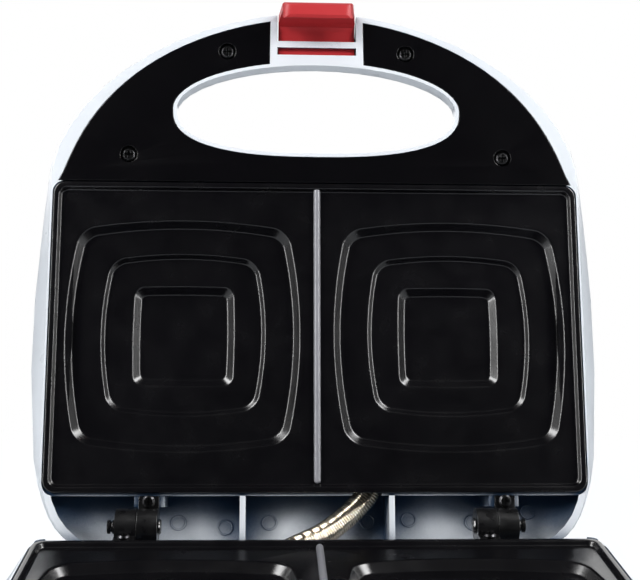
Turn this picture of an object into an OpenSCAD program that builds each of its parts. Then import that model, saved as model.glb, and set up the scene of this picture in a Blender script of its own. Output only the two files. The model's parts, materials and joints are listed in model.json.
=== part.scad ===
// Sandwich toaster with a hinged lid, two grill plates and a latched carrying handle.
// Each half is drawn in its own coordinates: x across, y forward from the hinge axis,
// z away from the parting plane. at_base() and at_lid() put the two halves in place.

/* [Lid] */
// Angle of the lid from its closed position
lid_open = 109; // [0:1:109]

/* [Shells] */
// Width of both shells at the parting plane
shell_w = 220; // [216:1:232]
// Wall thickness of the moulded shells
wall = 2.5; // [2:0.1:3]
// Distance of the rear walls behind the hinge axis
shell_rear = 15.5; // [14:0.5:18]
// Squareness of the rear corners
rear_square = 5.4; // [4:0.2:7]
// Height of the lid's dome
lid_h = 40; // [38:1:46]
// Fall of the dome towards its rear wall
lid_fall = 15; // [8:1:18]
// Depth of the base below the parting plane
base_h = 42; // [41:1:48]
// Height of the feet
foot_h = 4; // [3:0.5:8]
// Radius of the feet
foot_r = 7; // [5.5:0.5:7.5]
// Swell of the side walls at the widest place
side_swell = 7.8; // [4:0.2:9]
// Swell of the side walls at the front and rear
end_swell = 2.4; // [1:0.2:3]
// Gap between each half and the parting plane
half_gap = 0.4; // [0.3:0.1:0.8]

/* [Handle arch] */
// Reach of the arch in front of the plates
arch_reach = 75.6; // [70:0.2:85]
// Roundness of the arch, 2 is an ellipse
arch_round = 1.88; // [1.8:0.02:2.1]
// Height of each arch
arch_h = 17; // [17:0.5:20]
// Width of the grip opening in the shells
grip_w = 118; // [100:1:122]
// Depth of the grip opening in front of its widest line
grip_front = 20; // [16:0.5:21]
// Depth of the grip opening behind its widest line
grip_back = 19; // [14:0.5:20]
// Distance of the grip opening's widest line in front of the plates
grip_ahead = 32; // [30:0.1:34.4]
// Thickness of the black grip covers
cover_t = 2.6; // [2:0.1:3]
// White band outside the grip covers
cover_band = 2.6; // [2.4:0.1:5]
// White band round the grip opening
cover_lip = 1.7; // [1.4:0.1:3]
// Half width of the white block between the tips of the covers
tip_x = 20.1; // [19.9:0.1:24]
// Radius of the sunk seats of the cover screws
cover_seat_r = 3.6; // [3:0.1:4.2]

/* [Plates] */
// Bare edge of the shells beside the plates
plate_edge = 1; // [0.5:0.1:6]
// Depth of the grill plates, front to rear
plate_d = 127.4; // [124:0.2:130]
// Rear edge of the plates in front of the hinge axis
plate_y = 13.1; // [12.8:0.1:14]
// Corner radius of the plates
plate_r = 5; // [3:0.5:8]
// Width of the raised rim
rim_w = 2.4; // [1.8:0.1:4]
// Drop from the rim to the field
rim_drop = 2; // [1:0.1:2.2]
// Thickness of the flange that lies on the shell
flange_t = 2.6; // [2:0.1:3]
// Thickness of the cast metal
plate_t = 2.8; // [2.4:0.1:3.2]
// Width of the dividing ridge
ridge_w = 2.8; // [2:0.1:4]
// Flat field on each side of the outer step
pocket_side = 6.2; // [5.6:0.1:9]
// Flat field in front of and behind the outer step
pocket_end = 16.2; // [14.6:0.2:18]
// Distance from the edge of the outer step to the middle step
middle_in = 14.5; // [12:0.1:17]
// Distance from the edge of the middle step to the inner step
inner_in = 12.8; // [10:0.1:15]
// Swell of the outer step's sides between its corners
pocket_swell = 5; // [2:0.1:7]
// Corner radius of the outer step
pocket_r = 6; // [5:0.1:9]
// Fall of the outer step
pocket_fall = 3.5; // [2:0.1:4]
// Fall of the middle step
middle_fall = 2; // [1:0.1:2.5]
// Fall of the inner step
inner_fall = 3; // [2:0.1:3.5]
// Width of the sloped wall of the outer and inner steps
step_slope = 3.2; // [2:0.1:3.6]

/* [Hinges] */
// Distance of each hinge joint from the middle
hinge_x = 71.1; // [60:0.5:80]
// Width of a hinge leaf
leaf_w = 8.1; // [7:0.1:9]
// Outer radius of the knuckles
knuckle_r = 7; // [6:0.1:7.2]
// Radius of the hinge pins
pin_r = 2.4; // [2:0.1:3]
// Running clearance of pins in bores
pin_fit = 0.05; // [0.03:0.01:0.08]
// Thickness of the screwed pads
pad_t = 2.5; // [2:0.1:3]
// Distance of the hinge screws from the axis
hinge_screw_y = 9.7; // [9.5:0.1:10]

/* [Rear compartment] */
// Front face of the wall between the hinge space and the plate chamber
bulkhead_y = 12; // [11.8:0.1:12.4]
// Thickness of the two ribs in the lid
rib_t = 2.3; // [1.8:0.1:3]
// Distance of the ribs from the middle
rib_x = 29.8; // [29.6:0.2:36]
// Outer diameter of the steel sheath
sheath_d = 8; // [7:0.1:8]
// Wire of the steel sheath
sheath_wire = 0.8; // [0.6:0.05:0.85]
// Advance of the sheath for each curl
sheath_pitch = 1.45; // [1.4:0.05:1.7]

/* [Latch] */
// Width of the latch clip
clip_w = 32.6; // [28:0.2:34]
// Thickness of the clip
clip_t = 3.4; // [2.6:0.1:3.4]
// Reach of the clip below the parting plane
clip_drop = 15; // [14.5:0.5:16]
// Distance of the clip's inner face behind the tip of the arch
clip_in = 4.8; // [4.4:0.1:5.4]
// Gap between the clip and the sides of its recess
clip_gap = 0.5; // [0.4:0.1:0.8]
// Taper of the clip on each side, towards its hook
clip_taper = 1.3; // [0:0.1:2]
// Distance of the latch pivot behind the tip of the arch
pivot_in = 14.6; // [14.1:0.1:15.1]
// Height of the latch pivot above the parting plane
pivot_z = 8.3; // [8:0.1:8.6]
// Radius of the latch pin
latch_pin_r = 1.5; // [1.2:0.1:1.7]

/* [Underside and inlet] */
// Radius of the bore in the cord gland
gland_bore_r = 3.4; // [2.8:0.1:3.8]
// Distance of the gland from the middle
gland_x = 35; // [30:1:45]
// Radius of the heating rod
rod_r = 3.2; // [2.8:0.1:3.4]

/* [Hidden] */

white = "whitesmoke";
satin_black = [0.09, 0.09, 0.1];
gloss_black = [0.05, 0.05, 0.06];
steel = "silver";
nickel = [0.76, 0.72, 0.64];
red = [0.66, 0.18, 0.19];

// Place of the hinge axis: the feet stand on z = 0, with the origin under the middle of the open machine
parting_z = foot_h + base_h;
plate_front = plate_y + plate_d;
arch_front = plate_front + arch_reach;
open_reach = 82.46;
hinge_y = (arch_front - open_reach) / 2;
half_w = shell_w / 2;
plate_mid = plate_y + plate_d / 2;
spine_y = plate_mid + 3.9;
side_start = plate_mid - 14.1;
SIDE_PLACES = [47.1, 28.1, 18.1, 9.1];
slope_ahead = 21;
slope_l = 48;
swell_back = 2.1;
swell_more = 3;
plate_w = shell_w - 2 * plate_edge;
pocket_w = plate_w / 2 - 2 * pocket_side;
pocket_d = plate_d - 2 * pocket_end;
middle_w = pocket_w - 2 * middle_in;
inner_w = middle_w - 2 * inner_in;
pocket_x = plate_w / 4;
grip_y = plate_front + grip_ahead;
clip_y = arch_front - clip_in;
pivot_y = arch_front - pivot_in;
field_z = half_gap + rim_drop;
seat_z = half_gap + flange_t;
slip = 0.3;
cover_y = plate_front + slip + 0.1;
fit = 0.2;
screw_r = 1.2;
side_gap = 0.3;
pad_z = 1.2;
bulkhead_t = 2.2;
lid_stop = 109;
scoop_gap = 0.8;
LOOP_STEPS = 40;
SIDE_STEPS = 3;
CORNER_STEPS = 4;
gland_z = base_h - 9;
gland_neck_r = gland_bore_r + 2;
gland_pad = shell_rear + 0.4;
sheath_lid_x = 20;
block_y = bulkhead_y + 5;
LAMPS = [-9, 9];
lamp_y = plate_front - 35.1;
lamp_r = 3.6;
bar_d = 2.8;
bar_t = 1.2;
slot_d = 3.3;
foot_z = 2.9;
spring_l = 1.5;
notch_z = 4.6;
hook_d = 3.5;
hook_t = 2.8;
hook_fillet = 0.45;
latch_pin_l = 43;
bottom_a = half_w - 38;
bottom_b = plate_d / 2 - 9;
bottom_mid = plate_mid - 12.1;
bottom_screw_x = bottom_a - 28;
bottom_screw_y = bottom_b - 9;
BOTTOM_SCREWS = [for (y = [-1, 1], x = [-1, 1]) [x * bottom_screw_x, bottom_mid + y * bottom_screw_y]];
rear_foot = [half_w - 36, 16 - shell_rear];
front_foot = [half_w - 26, plate_front - 41.1];
FEET = [for (f = [rear_foot, front_foot], x = [-1, 1]) [x * f.x, f.y]];

module at_base() {
    translate([0, hinge_y, parting_z]) rotate([180, 0, 0]) children();
}

module at_lid() {
    translate([0, hinge_y, parting_z]) rotate([-lid_open, 0, 0]) mirror([0, 1, 0]) children();
}

// Extrudes a profile drawn in (y, z) along x, from x0 over a length
module along_x(x0, length) {
    translate([x0, 0, 0]) rotate([90, 0, 90]) linear_extrude(length) children();
}

module both_sides() {
    for (side = [-1, 1]) scale_x(side) children();
}

module scale_x(side) {
    if (side < 0) mirror([1, 0, 0]) children();
    else children();
}

// Curves

function signed_pow(v, e) = sign(v) * pow(abs(v), e);

// Point of a superellipse with half axes a and b and exponent n
function super_point(a, b, n, t) =
    [a * signed_pow(cos(t), 2 / n), b * signed_pow(sin(t), 2 / n)];

function super_loop(a, b, n, count) =
    [for (i = [0 : count - 1]) super_point(a, b, n, 360 * i / count)];

// First quarter of a cushion with half sizes a, corner radius r and sides that swell by w
function cushion_quarter(a, r, w) =
    let (q = a - w, c = [q.x - r, q.y - r],
        flat = concat(
            [for (i = [0 : SIDE_STEPS - 1]) [q.x, c.y * i / SIDE_STEPS]],
            [for (i = [0 : CORNER_STEPS]) let (t = 90 * i / CORNER_STEPS) c + r * [cos(t), sin(t)]],
            [for (i = [SIDE_STEPS - 1 : -1 : 0]) [c.x * i / SIDE_STEPS, q.y]]))
    [for (p = flat)
        [p.x * (1 + w.x / q.x * (1 - pow(p.y / q.y, 2))), p.y * (1 + w.y / q.y * (1 - pow(p.x / q.x, 2)))]];

function cushion_loop(a, r, w) =
    let (quarter = cushion_quarter(a, r, w), last = len(quarter) - 1)
    [for (turn = [[1, 1], [-1, 1], [-1, -1], [1, -1]])
        each turn.x * turn.y > 0
            ? [for (i = [0 : last - 1]) [turn.x * quarter[i].x, turn.y * quarter[i].y]]
            : [for (i = [last : -1 : 1]) [turn.x * quarter[i].x, turn.y * quarter[i].y]]];

// Right half of a shell's outline, from the middle of the rear to the middle of the front
function shell_half(a, rear, front_mid, front_b, front_n, steps) = concat(
    [for (i = [0 : steps - 1])
        let (p = super_point(a, side_start + rear, rear_square, -90 + 90 * i / steps))
        [p.x, p.y + side_start]],
    [[a, side_start]],
    [for (back = SIDE_PLACES) if (plate_front - back < front_mid - 1) [a, plate_front - back]],
    [for (i = [0 : steps])
        let (p = super_point(a, front_b, front_n, 90 * i / steps))
        [p.x, p.y + front_mid]]
);

// Whole outline: the right half and its mirror image
function mirrored(half) = concat(
    half,
    [for (i = [len(half) - 2 : -1 : 1]) [-half[i].x, half[i].y]]
);

function smooth(t) = let (u = min(1, max(0, t))) u * u * (3 - 2 * u);

// Height of a shell over a place y, from the tall body to the low arch
function shell_rise(y, body, fall) =
    arch_h + (body - arch_h) * smooth((plate_front + slope_ahead - y) / slope_l)
    - fall * smooth((plate_mid - y) / (plate_mid + shell_rear));

function swell(y) =
    let (away = (y - plate_mid + swell_back) / (plate_d / 2 + swell_more))
    end_swell + (side_swell - end_swell) * max(0, 1 - away * away);

// One ring of a shell: outline drawn in to the share s, swollen by w, raised by q
function shell_ring(outline, s, w, q, body, fall, lower) = [
    for (p = outline)
        let (y = spine_y + (p.y - spine_y) * s)
        [p.x * s * (1 + w * swell(y) / half_w), y, lower + q * (shell_rise(y, body, fall) - lower)]
];

// Faces between equal rings, closed by a flat floor and a fan to the last point
function skin_faces(rings, count) = concat(
    [[for (i = [0 : count - 1]) i]],
    [for (k = [0 : rings - 2], i = [0 : count - 1])
        let (j = (i + 1) % count, a = k * count)
        each [[a + i, a + count + i, a + j], [a + j, a + count + i, a + count + j]]],
    [for (i = [0 : count - 1])
        let (a = (rings - 1) * count)
        [a + i, rings * count, a + (i + 1) % count]]
);

// Domed solid: levels are [share of the outline, share of the swell, share of the height]
module dome(outline, levels, body, fall, lower) {
    rings = [for (l = levels) each shell_ring(outline, l[0], l[1], l[2], body, fall, lower)];
    top = [0, spine_y, shell_rise(spine_y, body, fall)];
    polyhedron(concat(rings, [top]), skin_faces(len(levels), len(outline)), convexity = 6);
}

LID_LEVELS = [
    [1, 0, 0], [1, 0.75, 0.17], [1, 1, 0.36], [0.997, 0.92, 0.55], [0.983, 0.75, 0.7],
    [0.955, 0.6, 0.81], [0.9, 0.4, 0.9], [0.81, 0.2, 0.955], [0.71, 0.1, 0.98], [0.62, 0, 0.99],
    [0.54, 0, 1], [0.46, 0, 1], [0.37, 0, 1], [0.25, 0, 1]
];
BASE_LEVELS = [
    [1, 0, 0], [1, 0.75, 0.16], [1, 1, 0.34], [0.998, 0.9, 0.58], [0.985, 0.7, 0.8],
    [0.962, 0.5, 0.93], [0.93, 0.3, 1], [0.81, 0.1, 1], [0.71, 0, 1], [0.62, 0, 1],
    [0.54, 0, 1], [0.46, 0, 1], [0.37, 0, 1], [0.25, 0, 1]
];
LID_CAVITY = [
    [1, 0, 0], [1, 1, 0.36], [0.995, 0.9, 0.58], [0.975, 0.7, 0.76], [0.94, 0.5, 0.88], [0.85, 0.2, 0.97],
    [0.6, 0, 1], [0.3, 0, 1]
];
BASE_CAVITY = [
    [1, 0, 0], [1, 1, 0.36], [0.995, 0.9, 0.6], [0.985, 0.75, 0.78], [0.965, 0.55, 0.9], [0.93, 0.35, 0.97],
    [0.88, 0.2, 1], [0.6, 0, 1], [0.3, 0, 1]
];

module outer_skin(levels, body, fall) {
    outline = mirrored(shell_half(half_w, shell_rear, plate_front, arch_reach, arch_round, 13));
    dome(outline, levels, body, fall, half_gap);
}

module cavity(levels, body, fall) {
    outline = mirrored(shell_half(half_w - wall, shell_rear - wall, plate_front - 27,
        27 - wall, rear_square, 12));
    dome(outline, levels, body - wall, fall, half_gap - 1);
}

// Flat outlines

module rounded_rect(x0, y0, x1, y1, r) {
    translate([x0 + r, y0]) square([x1 - x0 - 2 * r, y1 - y0]);
    translate([x0, y0 + r]) square([x1 - x0, y1 - y0 - 2 * r]);
    for (x = [x0 + r, x1 - r], y = [y0 + r, y1 - r]) translate([x, y]) circle(r, $fn = 32);
}

function grip_loop(grow, back_grow, count) =
    let (front = super_loop(grip_w / 2 + grow, grip_front + grow, 2, count),
        back = super_loop(grip_w / 2 + grow, grip_back + back_grow, 2.6, count))
    [for (i = [0 : count - 1]) i <= count / 2 ? front[i] : back[i]];

// Grip opening, grown by a margin
module grip_2d(grow) {
    translate([0, grip_y]) polygon(grip_loop(grow, grow, 64));
}

// Rounding of the grip opening towards the outside of the shell, in [height, growth, growth at the back]
GRIP_FLARE = [
    [5, -0.01, -0.01], [8, 0.4, 0.3], [11, 1.4, 0.9], [13.5, 3.2, 1.8], [15.5, 6, 2.6], [17.2, 10, 3],
    [24, 14, 3.4]
];

module grip_flare() {
    rings = [for (l = GRIP_FLARE, p = grip_loop(l[1], l[2], LOOP_STEPS)) [p.x, p.y, l[0]]];
    translate([0, grip_y, 0]) polyhedron(concat(rings, [[0, 0, GRIP_FLARE[len(GRIP_FLARE) - 1][0]]]),
        skin_faces(len(GRIP_FLARE), LOOP_STEPS), convexity = 4);
}

// Grip cover, grown by a margin
module cover_2d(grow) {
    difference() {
        intersection() {
            translate([0, plate_front])
                polygon(super_loop(half_w - cover_band + grow, arch_reach - cover_band + grow,
                    arch_round, 96));
            translate([-half_w, cover_y - grow]) square([shell_w, arch_reach]);
        }
        grip_2d(cover_lip - grow);
        translate([-tip_x + grow, grip_y]) square([2 * (tip_x - grow), arch_reach]);
    }
}

low_screw = [half_w - 31.5, plate_front + 11.9];
high_screw = [38, arch_front - 17.9];
COVER_SCREWS = [for (p = [low_screw, high_screw], x = [-1, 1]) [x * p.x, p.y]];

// Grill plates

// Stepped cutter of one half of a plate, with sloped walls and its top above the field
module stepped_pocket() {
    z1 = field_z + pocket_fall;
    z2 = z1 + middle_fall;
    z3 = z2 + inner_fall;
    steps = [
        [pocket_w / 2, 1, 1, field_z - 1.2], [pocket_w / 2, 1, 1, field_z],
        [pocket_w / 2 - step_slope, 0.75, 1, z1], [middle_w / 2, 0.9, 0.7, z1],
        [middle_w / 2 - step_slope / 2, 0.8, 0.7, z2], [inner_w / 2, 0.65, 0.1, z2],
        [inner_w / 2 - step_slope, 0.4, 0.1, z3]
    ];
    rings = [for (l = steps, p = step_loop(l[0], l[1], l[2])) [p.x, p.y, l[3]]];
    translate([pocket_x, plate_mid, 0])
        polyhedron(concat(rings, [[0, 0, z3]]), skin_faces(len(steps), LOOP_STEPS), convexity = 4);
}

// Outline of a step with half width a, shares of the outer step's radius and swell
function step_loop(a, round_share, swell_share) =
    cushion_loop(a * [1, pocket_d / pocket_w], pocket_r * round_share,
        pocket_swell * swell_share * [1, 0.75]);

// Metal under one half of a plate: each step is carried one thickness down
module stepped_underside() {
    falls = [pocket_fall, pocket_fall + middle_fall, pocket_fall + middle_fall + inner_fall];
    shapes = [[pocket_w / 2, 1, 1], [middle_w / 2 + 1.4, 0.9, 0.7], [inner_w / 2 + 1.4, 0.65, 0.1]];
    for (i = [0 : 2]) translate([pocket_x, plate_mid, field_z]) linear_extrude(falls[i] + plate_t)
        polygon(step_loop(shapes[i][0], shapes[i][1], shapes[i][2]));
}

module plate() {
    under = field_z + plate_t;
    rod_z = rod_level() - rod_r;
    difference() {
        union() {
            translate([0, 0, half_gap]) linear_extrude(flange_t)
                rounded_rect(-plate_w / 2, plate_y, plate_w / 2, plate_front, plate_r);
            translate([0, 0, seat_z]) linear_extrude(under - seat_z)
                rounded_rect(-plate_w / 2 + 9, bulkhead_y + wall + slip,
                    plate_w / 2 - 9, plate_front - 8, plate_r);
            both_sides() stepped_underside();
            translate([0, 0, under - 1]) linear_extrude(rod_z - under + 1 - slip / 3) rod_land();
            translate([0, plate_mid, under - 1]) cylinder(sensor_z - under + 1, 9.5, 9.5, $fn = 48);
            for (p = STUDS) translate([p.x, p.y, under - 1])
                cylinder(stud_top() - under + 1, 3.6, 3.6, $fn = 24);
        }
        translate([0, 0, -1]) linear_extrude(field_z + 1)
            rounded_rect(-plate_w / 2 + rim_w, plate_y + rim_w, plate_w / 2 - rim_w,
                plate_front - rim_w, plate_r - 1.5);
        both_sides() stepped_pocket();
        for (p = STUDS) translate([p.x, p.y, stud_top() - 9]) cylinder(10, 1.3, 1.3, $fn = 24);
    }
    ridge();
}

// Dividing ridge with a crowned back and round ends, between the rims
module ridge() {
    r = ridge_w / 2;
    crown_r = r * 1.36;
    ends = [plate_y + rim_w + r + 0.2, plate_front - rim_w - r - 0.2];
    top = half_gap + 0.15;
    intersection() {
        translate([0, 0, top]) linear_extrude(field_z + 0.5 - top) {
            translate([-r, ends[0]]) square([ridge_w, ends[1] - ends[0]]);
            for (y = ends) translate([0, y]) circle(r, $fn = 32);
        }
        translate([0, plate_y, top + crown_r]) rotate([-90, 0, 0])
            cylinder(plate_d, crown_r, crown_r, $fn = 48);
    }
}

// Heating rods and reflectors

rod_x = plate_w / 2 - 26;
rod_bend = 12;
rod_half = plate_d / 2 - 36.5;
rod_back = plate_mid - rod_half;
rod_front = plate_mid + rod_half;
tray_z = rod_level() + rod_r + 2.5;
tray_t = 0.8;
tray_x = plate_w / 2 - 17;
tray_back = plate_y + 22.9;
tray_front = plate_front - 22.1;
tray_r = 6;
tray_skirt = 6;
ear = 8;
slot_first = 30;
slot_step = (tray_x - slot_first - 6) / 4;
sensor_z = field_z + plate_t + 4.2;
stud_x = plate_w / 2 - 49;
stud_back = plate_y + 10.2;
stud_front = plate_front - 9.9;
STUDS = [for (y = [stud_back, stud_front], x = [-1, 1]) [x * stud_x, y]];

function rod_level() = field_z + plate_t + pocket_fall + middle_fall + rod_r + 0.4;
function stud_top() = tray_z;

module rod_land() {
    difference() {
        rounded_rect(-rod_x - rod_r, rod_back - rod_r, rod_x + rod_r, rod_front + rod_r, rod_bend + rod_r);
        rounded_rect(-rod_x + rod_r, rod_back + rod_r, rod_x - rod_r, rod_front - rod_r, rod_bend - rod_r);
    }
}

module heating_rod() {
    straight = rod_front - rod_back - 2 * rod_bend;
    z = rod_level();
    both_sides() {
        translate([rod_x, rod_back + rod_bend, z]) rotate([-90, 0, 0])
            cylinder(straight, rod_r, rod_r, $fn = 32);
        for (end = [[rod_back + rod_bend, -90], [rod_front - rod_bend, 0]])
            translate([rod_x - rod_bend, end[0], z])
                rotate([0, 0, end[1]]) rotate_extrude(angle = 90, $fn = 48)
                    translate([rod_bend, 0]) circle(rod_r, $fn = 32);
        translate([9, rod_back, z]) rotate([0, 90, 0])
            cylinder(rod_x - rod_bend - 9, rod_r, rod_r, $fn = 32);
        translate([6, rod_back, z]) rotate([0, 90, 0]) cylinder(3.1, rod_r - 1, rod_r - 1, $fn = 32);
        translate([2.5, rod_back - 2.2, z - 0.4]) cube([3.6, 4.4, 0.8]);
    }
    translate([-rod_x + rod_bend, rod_front, z]) rotate([0, 90, 0])
        cylinder(2 * (rod_x - rod_bend), rod_r, rod_r, $fn = 32);
}

module reflector() {
    difference() {
        union() {
            translate([0, 0, tray_z]) linear_extrude(tray_t) {
                rounded_rect(-tray_x, tray_back, tray_x, tray_front, tray_r);
                for (x = [-stud_x, stud_x])
                    rounded_rect(x - ear, stud_back - ear * 0.6, x + ear, stud_front + ear * 0.6, ear / 2);
            }
            translate([0, 0, tray_z - tray_skirt]) linear_extrude(tray_skirt + tray_t) difference() {
                rounded_rect(-tray_x, tray_back, tray_x, tray_front, tray_r);
                rounded_rect(-tray_x + tray_t, tray_back + tray_t, tray_x - tray_t,
                    tray_front - tray_t, tray_r - tray_t);
            }
        }
        for (p = STUDS) translate([p.x, p.y, tray_z - 1]) cylinder(3, 1.6, 1.6, $fn = 24);
        translate([-16, plate_mid - 12, tray_z - 1]) cube([32, 24, 3]);
        for (i = [0 : 4]) both_sides() translate([slot_first + slot_step * i, plate_mid - 20, tray_z - 1])
            cube([4, 40, 3]);
    }
}

module reflector_screws() {
    for (p = STUDS) translate([p.x, p.y, tray_z + tray_t + 0.02]) mirror([0, 0, 1])
        pan_screw(2.9, screw_r, 8);
}

// Screws

// Pan head with a cross recess below z = 0 and a plain shank above it
module pan_screw(head_r, shank_r, shank) {
    difference() {
        union() {
            translate([0, 0, -1.7]) cylinder(0.7, head_r - 0.7, head_r, $fn = 32);
            translate([0, 0, -1]) cylinder(1, head_r, head_r, $fn = 32);
            cylinder(shank, shank_r, shank_r, $fn = 24);
        }
        for (a = [0, 90]) rotate([0, 0, a]) translate([-head_r * 0.6, -0.4, -1.8])
            cube([head_r * 1.2, 0.8, 1.1]);
    }
}

// Shell details

function seat_cover() = half_gap + cover_t;
function bar_back() = pivot_y - 1.1;
function recess_roof() = pivot_z + clip_t + 1;
function post_x(lower) = (lower ? -1 : 1) * (leaf_w + side_gap) / 2;

// What both shells share: plate seat, recess of the cover, hollow arch and grip opening
module shell_cuts() {
    translate([0, 0, half_gap - 1]) linear_extrude(flange_t + 1)
        rounded_rect(-plate_w / 2 - slip, bulkhead_y - 0.01, plate_w / 2 + slip,
            plate_front + slip, plate_r);
    translate([0, 0, half_gap - 1]) linear_extrude(cover_t + 1) cover_2d(fit);
    difference() {
        translate([0, 0, seat_cover() - 0.5]) linear_extrude(arch_h * 0.8 - wall - seat_cover() + 0.5)
            cover_2d(-wall);
        for (p = COVER_SCREWS) translate([p.x, p.y, 0]) cylinder(arch_h, 4.4, 4.4, $fn = 32);
    }
    for (p = COVER_SCREWS) translate([p.x, p.y, 0])
        cylinder(seat_cover() + 9, screw_r + 0.05, screw_r + 0.05, $fn = 24);
    translate([0, 0, -1]) linear_extrude(arch_h + 12) grip_2d(0);
    grip_flare();
}

// Wall between the hinge space and the plate chamber
module bulkhead() {
    translate([-half_w - 20, bulkhead_y, -1]) cube([shell_w + 40, bulkhead_t, base_h + lid_h]);
}

// Columns under the screwed pads of the hinges
module hinge_posts(lower) {
    for (side = [-1, 1])
        translate([side * hinge_x + post_x(lower) - 6, knuckle_r + 0.6, pad_z + pad_t])
            cube([12, bulkhead_y - knuckle_r, base_h + lid_h]);
}

module hinge_post_bores(lower) {
    for (side = [-1, 1])
        translate([side * hinge_x + post_x(lower), hinge_screw_y, pad_z])
            cylinder(10, screw_r + 0.05, screw_r + 0.05, $fn = 24);
}

// Boss behind a stud of the plate, up to the shell
module stud_boss(p, length) {
    translate([p.x, p.y, tray_z + tray_t + 2]) cylinder(length, 4.5, 4.5, $fn = 24);
}

module lid_housing() {
    color(white) at_lid() difference() {
        outer_skin(LID_LEVELS, lid_h, lid_fall);
        difference() {
            cavity(LID_CAVITY, lid_h, lid_fall);
            bulkhead();
            hinge_posts(false);
            both_sides() translate([rib_x - rib_t / 2, -shell_rear, half_gap + 1])
                cube([rib_t, shell_rear + bulkhead_y + 1, lid_h]);
            for (p = STUDS) stud_boss(p, lid_h);
        }
        hinge_post_bores(false);
        shell_cuts();
        translate([sheath_lid_x - 5.9, bulkhead_y - 1, 0]) cube([11.8, bulkhead_t + 2, 16.8]);
        for (x = LAMPS) translate([x, lamp_y, lid_h - 12])
            cylinder(20, lamp_r + fit / 2, lamp_r + fit / 2, $fn = 32);
        difference() {
            along_x(-clip_w / 2 - clip_gap, clip_w + 2 * clip_gap) clip_recess_2d();
            translate([-clip_w, bar_back(), half_gap]) cube([2 * clip_w, bar_d, bar_t]);
        }
        translate([0, bar_back() - slot_d, notch_z])
            cube([clip_w / 2 + spring_l + 0.6, slot_d + 8, recess_roof() - notch_z]);
        translate([-latch_pin_l / 2 - 0.3, pivot_y, pivot_z]) rotate([0, 90, 0])
            cylinder(latch_pin_l + 0.6, latch_pin_r + 0.03, latch_pin_r + 0.03, $fn = 32);
    }
}

// Recess of the lid's arch round the clip, with a roof over the pivot
module clip_recess_2d() {
    translate([bar_back() - slot_d, half_gap - 2]) square([slot_d + 3, recess_roof() - half_gap + 2]);
    translate([bar_back() + 2.4, half_gap - 2]) square([20, lid_h]);
}

// Space behind the base that the lid's rear wall needs, in (y, z), grown by a margin
module scoop_2d(grow) {
    turn = 180 - lid_stop;
    reach = shell_rear + scoop_gap + grow;
    edge = scoop_gap + grow;
    corner = [reach * cos(turn) + edge * sin(turn), reach * sin(turn) - edge * cos(turn)];
    polygon([
        [bulkhead_y, -3], [bulkhead_y, corner.y], corner,
        [corner.x - 70 * sin(turn), corner.y + 70 * cos(turn)], [-80, -3]
    ]);
}

module base_housing() {
    color(white) at_base() difference() {
        union() {
            outer_skin(BASE_LEVELS, base_h, 0);
            translate([gland_x, -gland_pad, gland_z]) rotate([-90, 0, 0])
                cylinder(5, gland_neck_r + 3, gland_neck_r + 3, $fn = 48);
        }
        difference() {
            cavity(BASE_CAVITY, base_h, 0);
            bulkhead();
            along_x(-half_w - 20, shell_w + 40) scoop_2d(wall);
            hinge_posts(true);
            for (p = BOTTOM_SCREWS) bottom_boss(p);
            for (p = STUDS) stud_boss(p, base_h);
            for (p = STUDS) if (p.y < plate_mid) translate([p.x - 1.2, bulkhead_y, tray_z + 4])
                cube([2.4, p.y - bulkhead_y, base_h]);
            for (p = FEET) translate([p.x, p.y, base_h - wall - 3])
                cylinder(9, foot_r + 1, foot_r + 1, $fn = 48);
        }
        difference() {
            along_x(-half_w - 20, shell_w + 40) scoop_2d(0);
            hinge_posts(true);
        }
        hinge_post_bores(true);
        shell_cuts();
        translate([0, 0, base_h - wall - 0.2]) linear_extrude(wall + 1) bottom_2d(-3);
        translate([0, 0, base_h - 1.4]) linear_extrude(3) bottom_2d(0);
        for (p = BOTTOM_SCREWS) translate([p.x, p.y, base_h - 12])
            cylinder(12, screw_r + 0.05, screw_r + 0.05, $fn = 24);
        for (p = FEET) translate([p.x, p.y, base_h - 2.6])
            cylinder(9, foot_r - 1.9, foot_r - 1.9, $fn = 48);
        translate([-32, bulkhead_y - 1, 0]) cube([20, bulkhead_t + 2, 15]);
        along_x(-clip_w / 2 - clip_gap, clip_w + 2 * clip_gap) keeper_recess_2d();
        translate([gland_x, -shell_rear - 5, gland_z]) rotate([-90, 0, 0])
            cylinder(15, gland_neck_r + 0.1, gland_neck_r + 0.1, $fn = 48);
        translate([gland_x, wall - shell_rear + 1.95, gland_z]) rotate([-90, 0, 0])
            cylinder(9, gland_neck_r + 1.8, gland_neck_r + 1.8, $fn = 48);
    }
}

// Recess of the base arch; the bar that is left carries the hook of the clip
module keeper_recess_2d() {
    translate([clip_y - 0.5, -1]) square([30, arch_h + 10]);
    translate([clip_y - 5, clip_drop - hook_t - 0.4]) square([30, arch_h + 10]);
}

// Boss of a bottom screw, with a web to the nearest wall
module bottom_boss(p) {
    translate([p.x, p.y, base_h - 16]) cylinder(16, 4, 4, $fn = 32);
    translate([p.x - 1.2, p.y > plate_mid ? p.y : bulkhead_y, base_h - 14])
        cube([2.4, p.y > plate_mid ? plate_front - p.y : p.y - bulkhead_y, 14]);
}

// Opening of the underside, grown by a margin
module bottom_2d(grow) {
    translate([0, bottom_mid]) polygon(super_loop(bottom_a + grow, bottom_b + grow, 4, 64));
}

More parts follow.
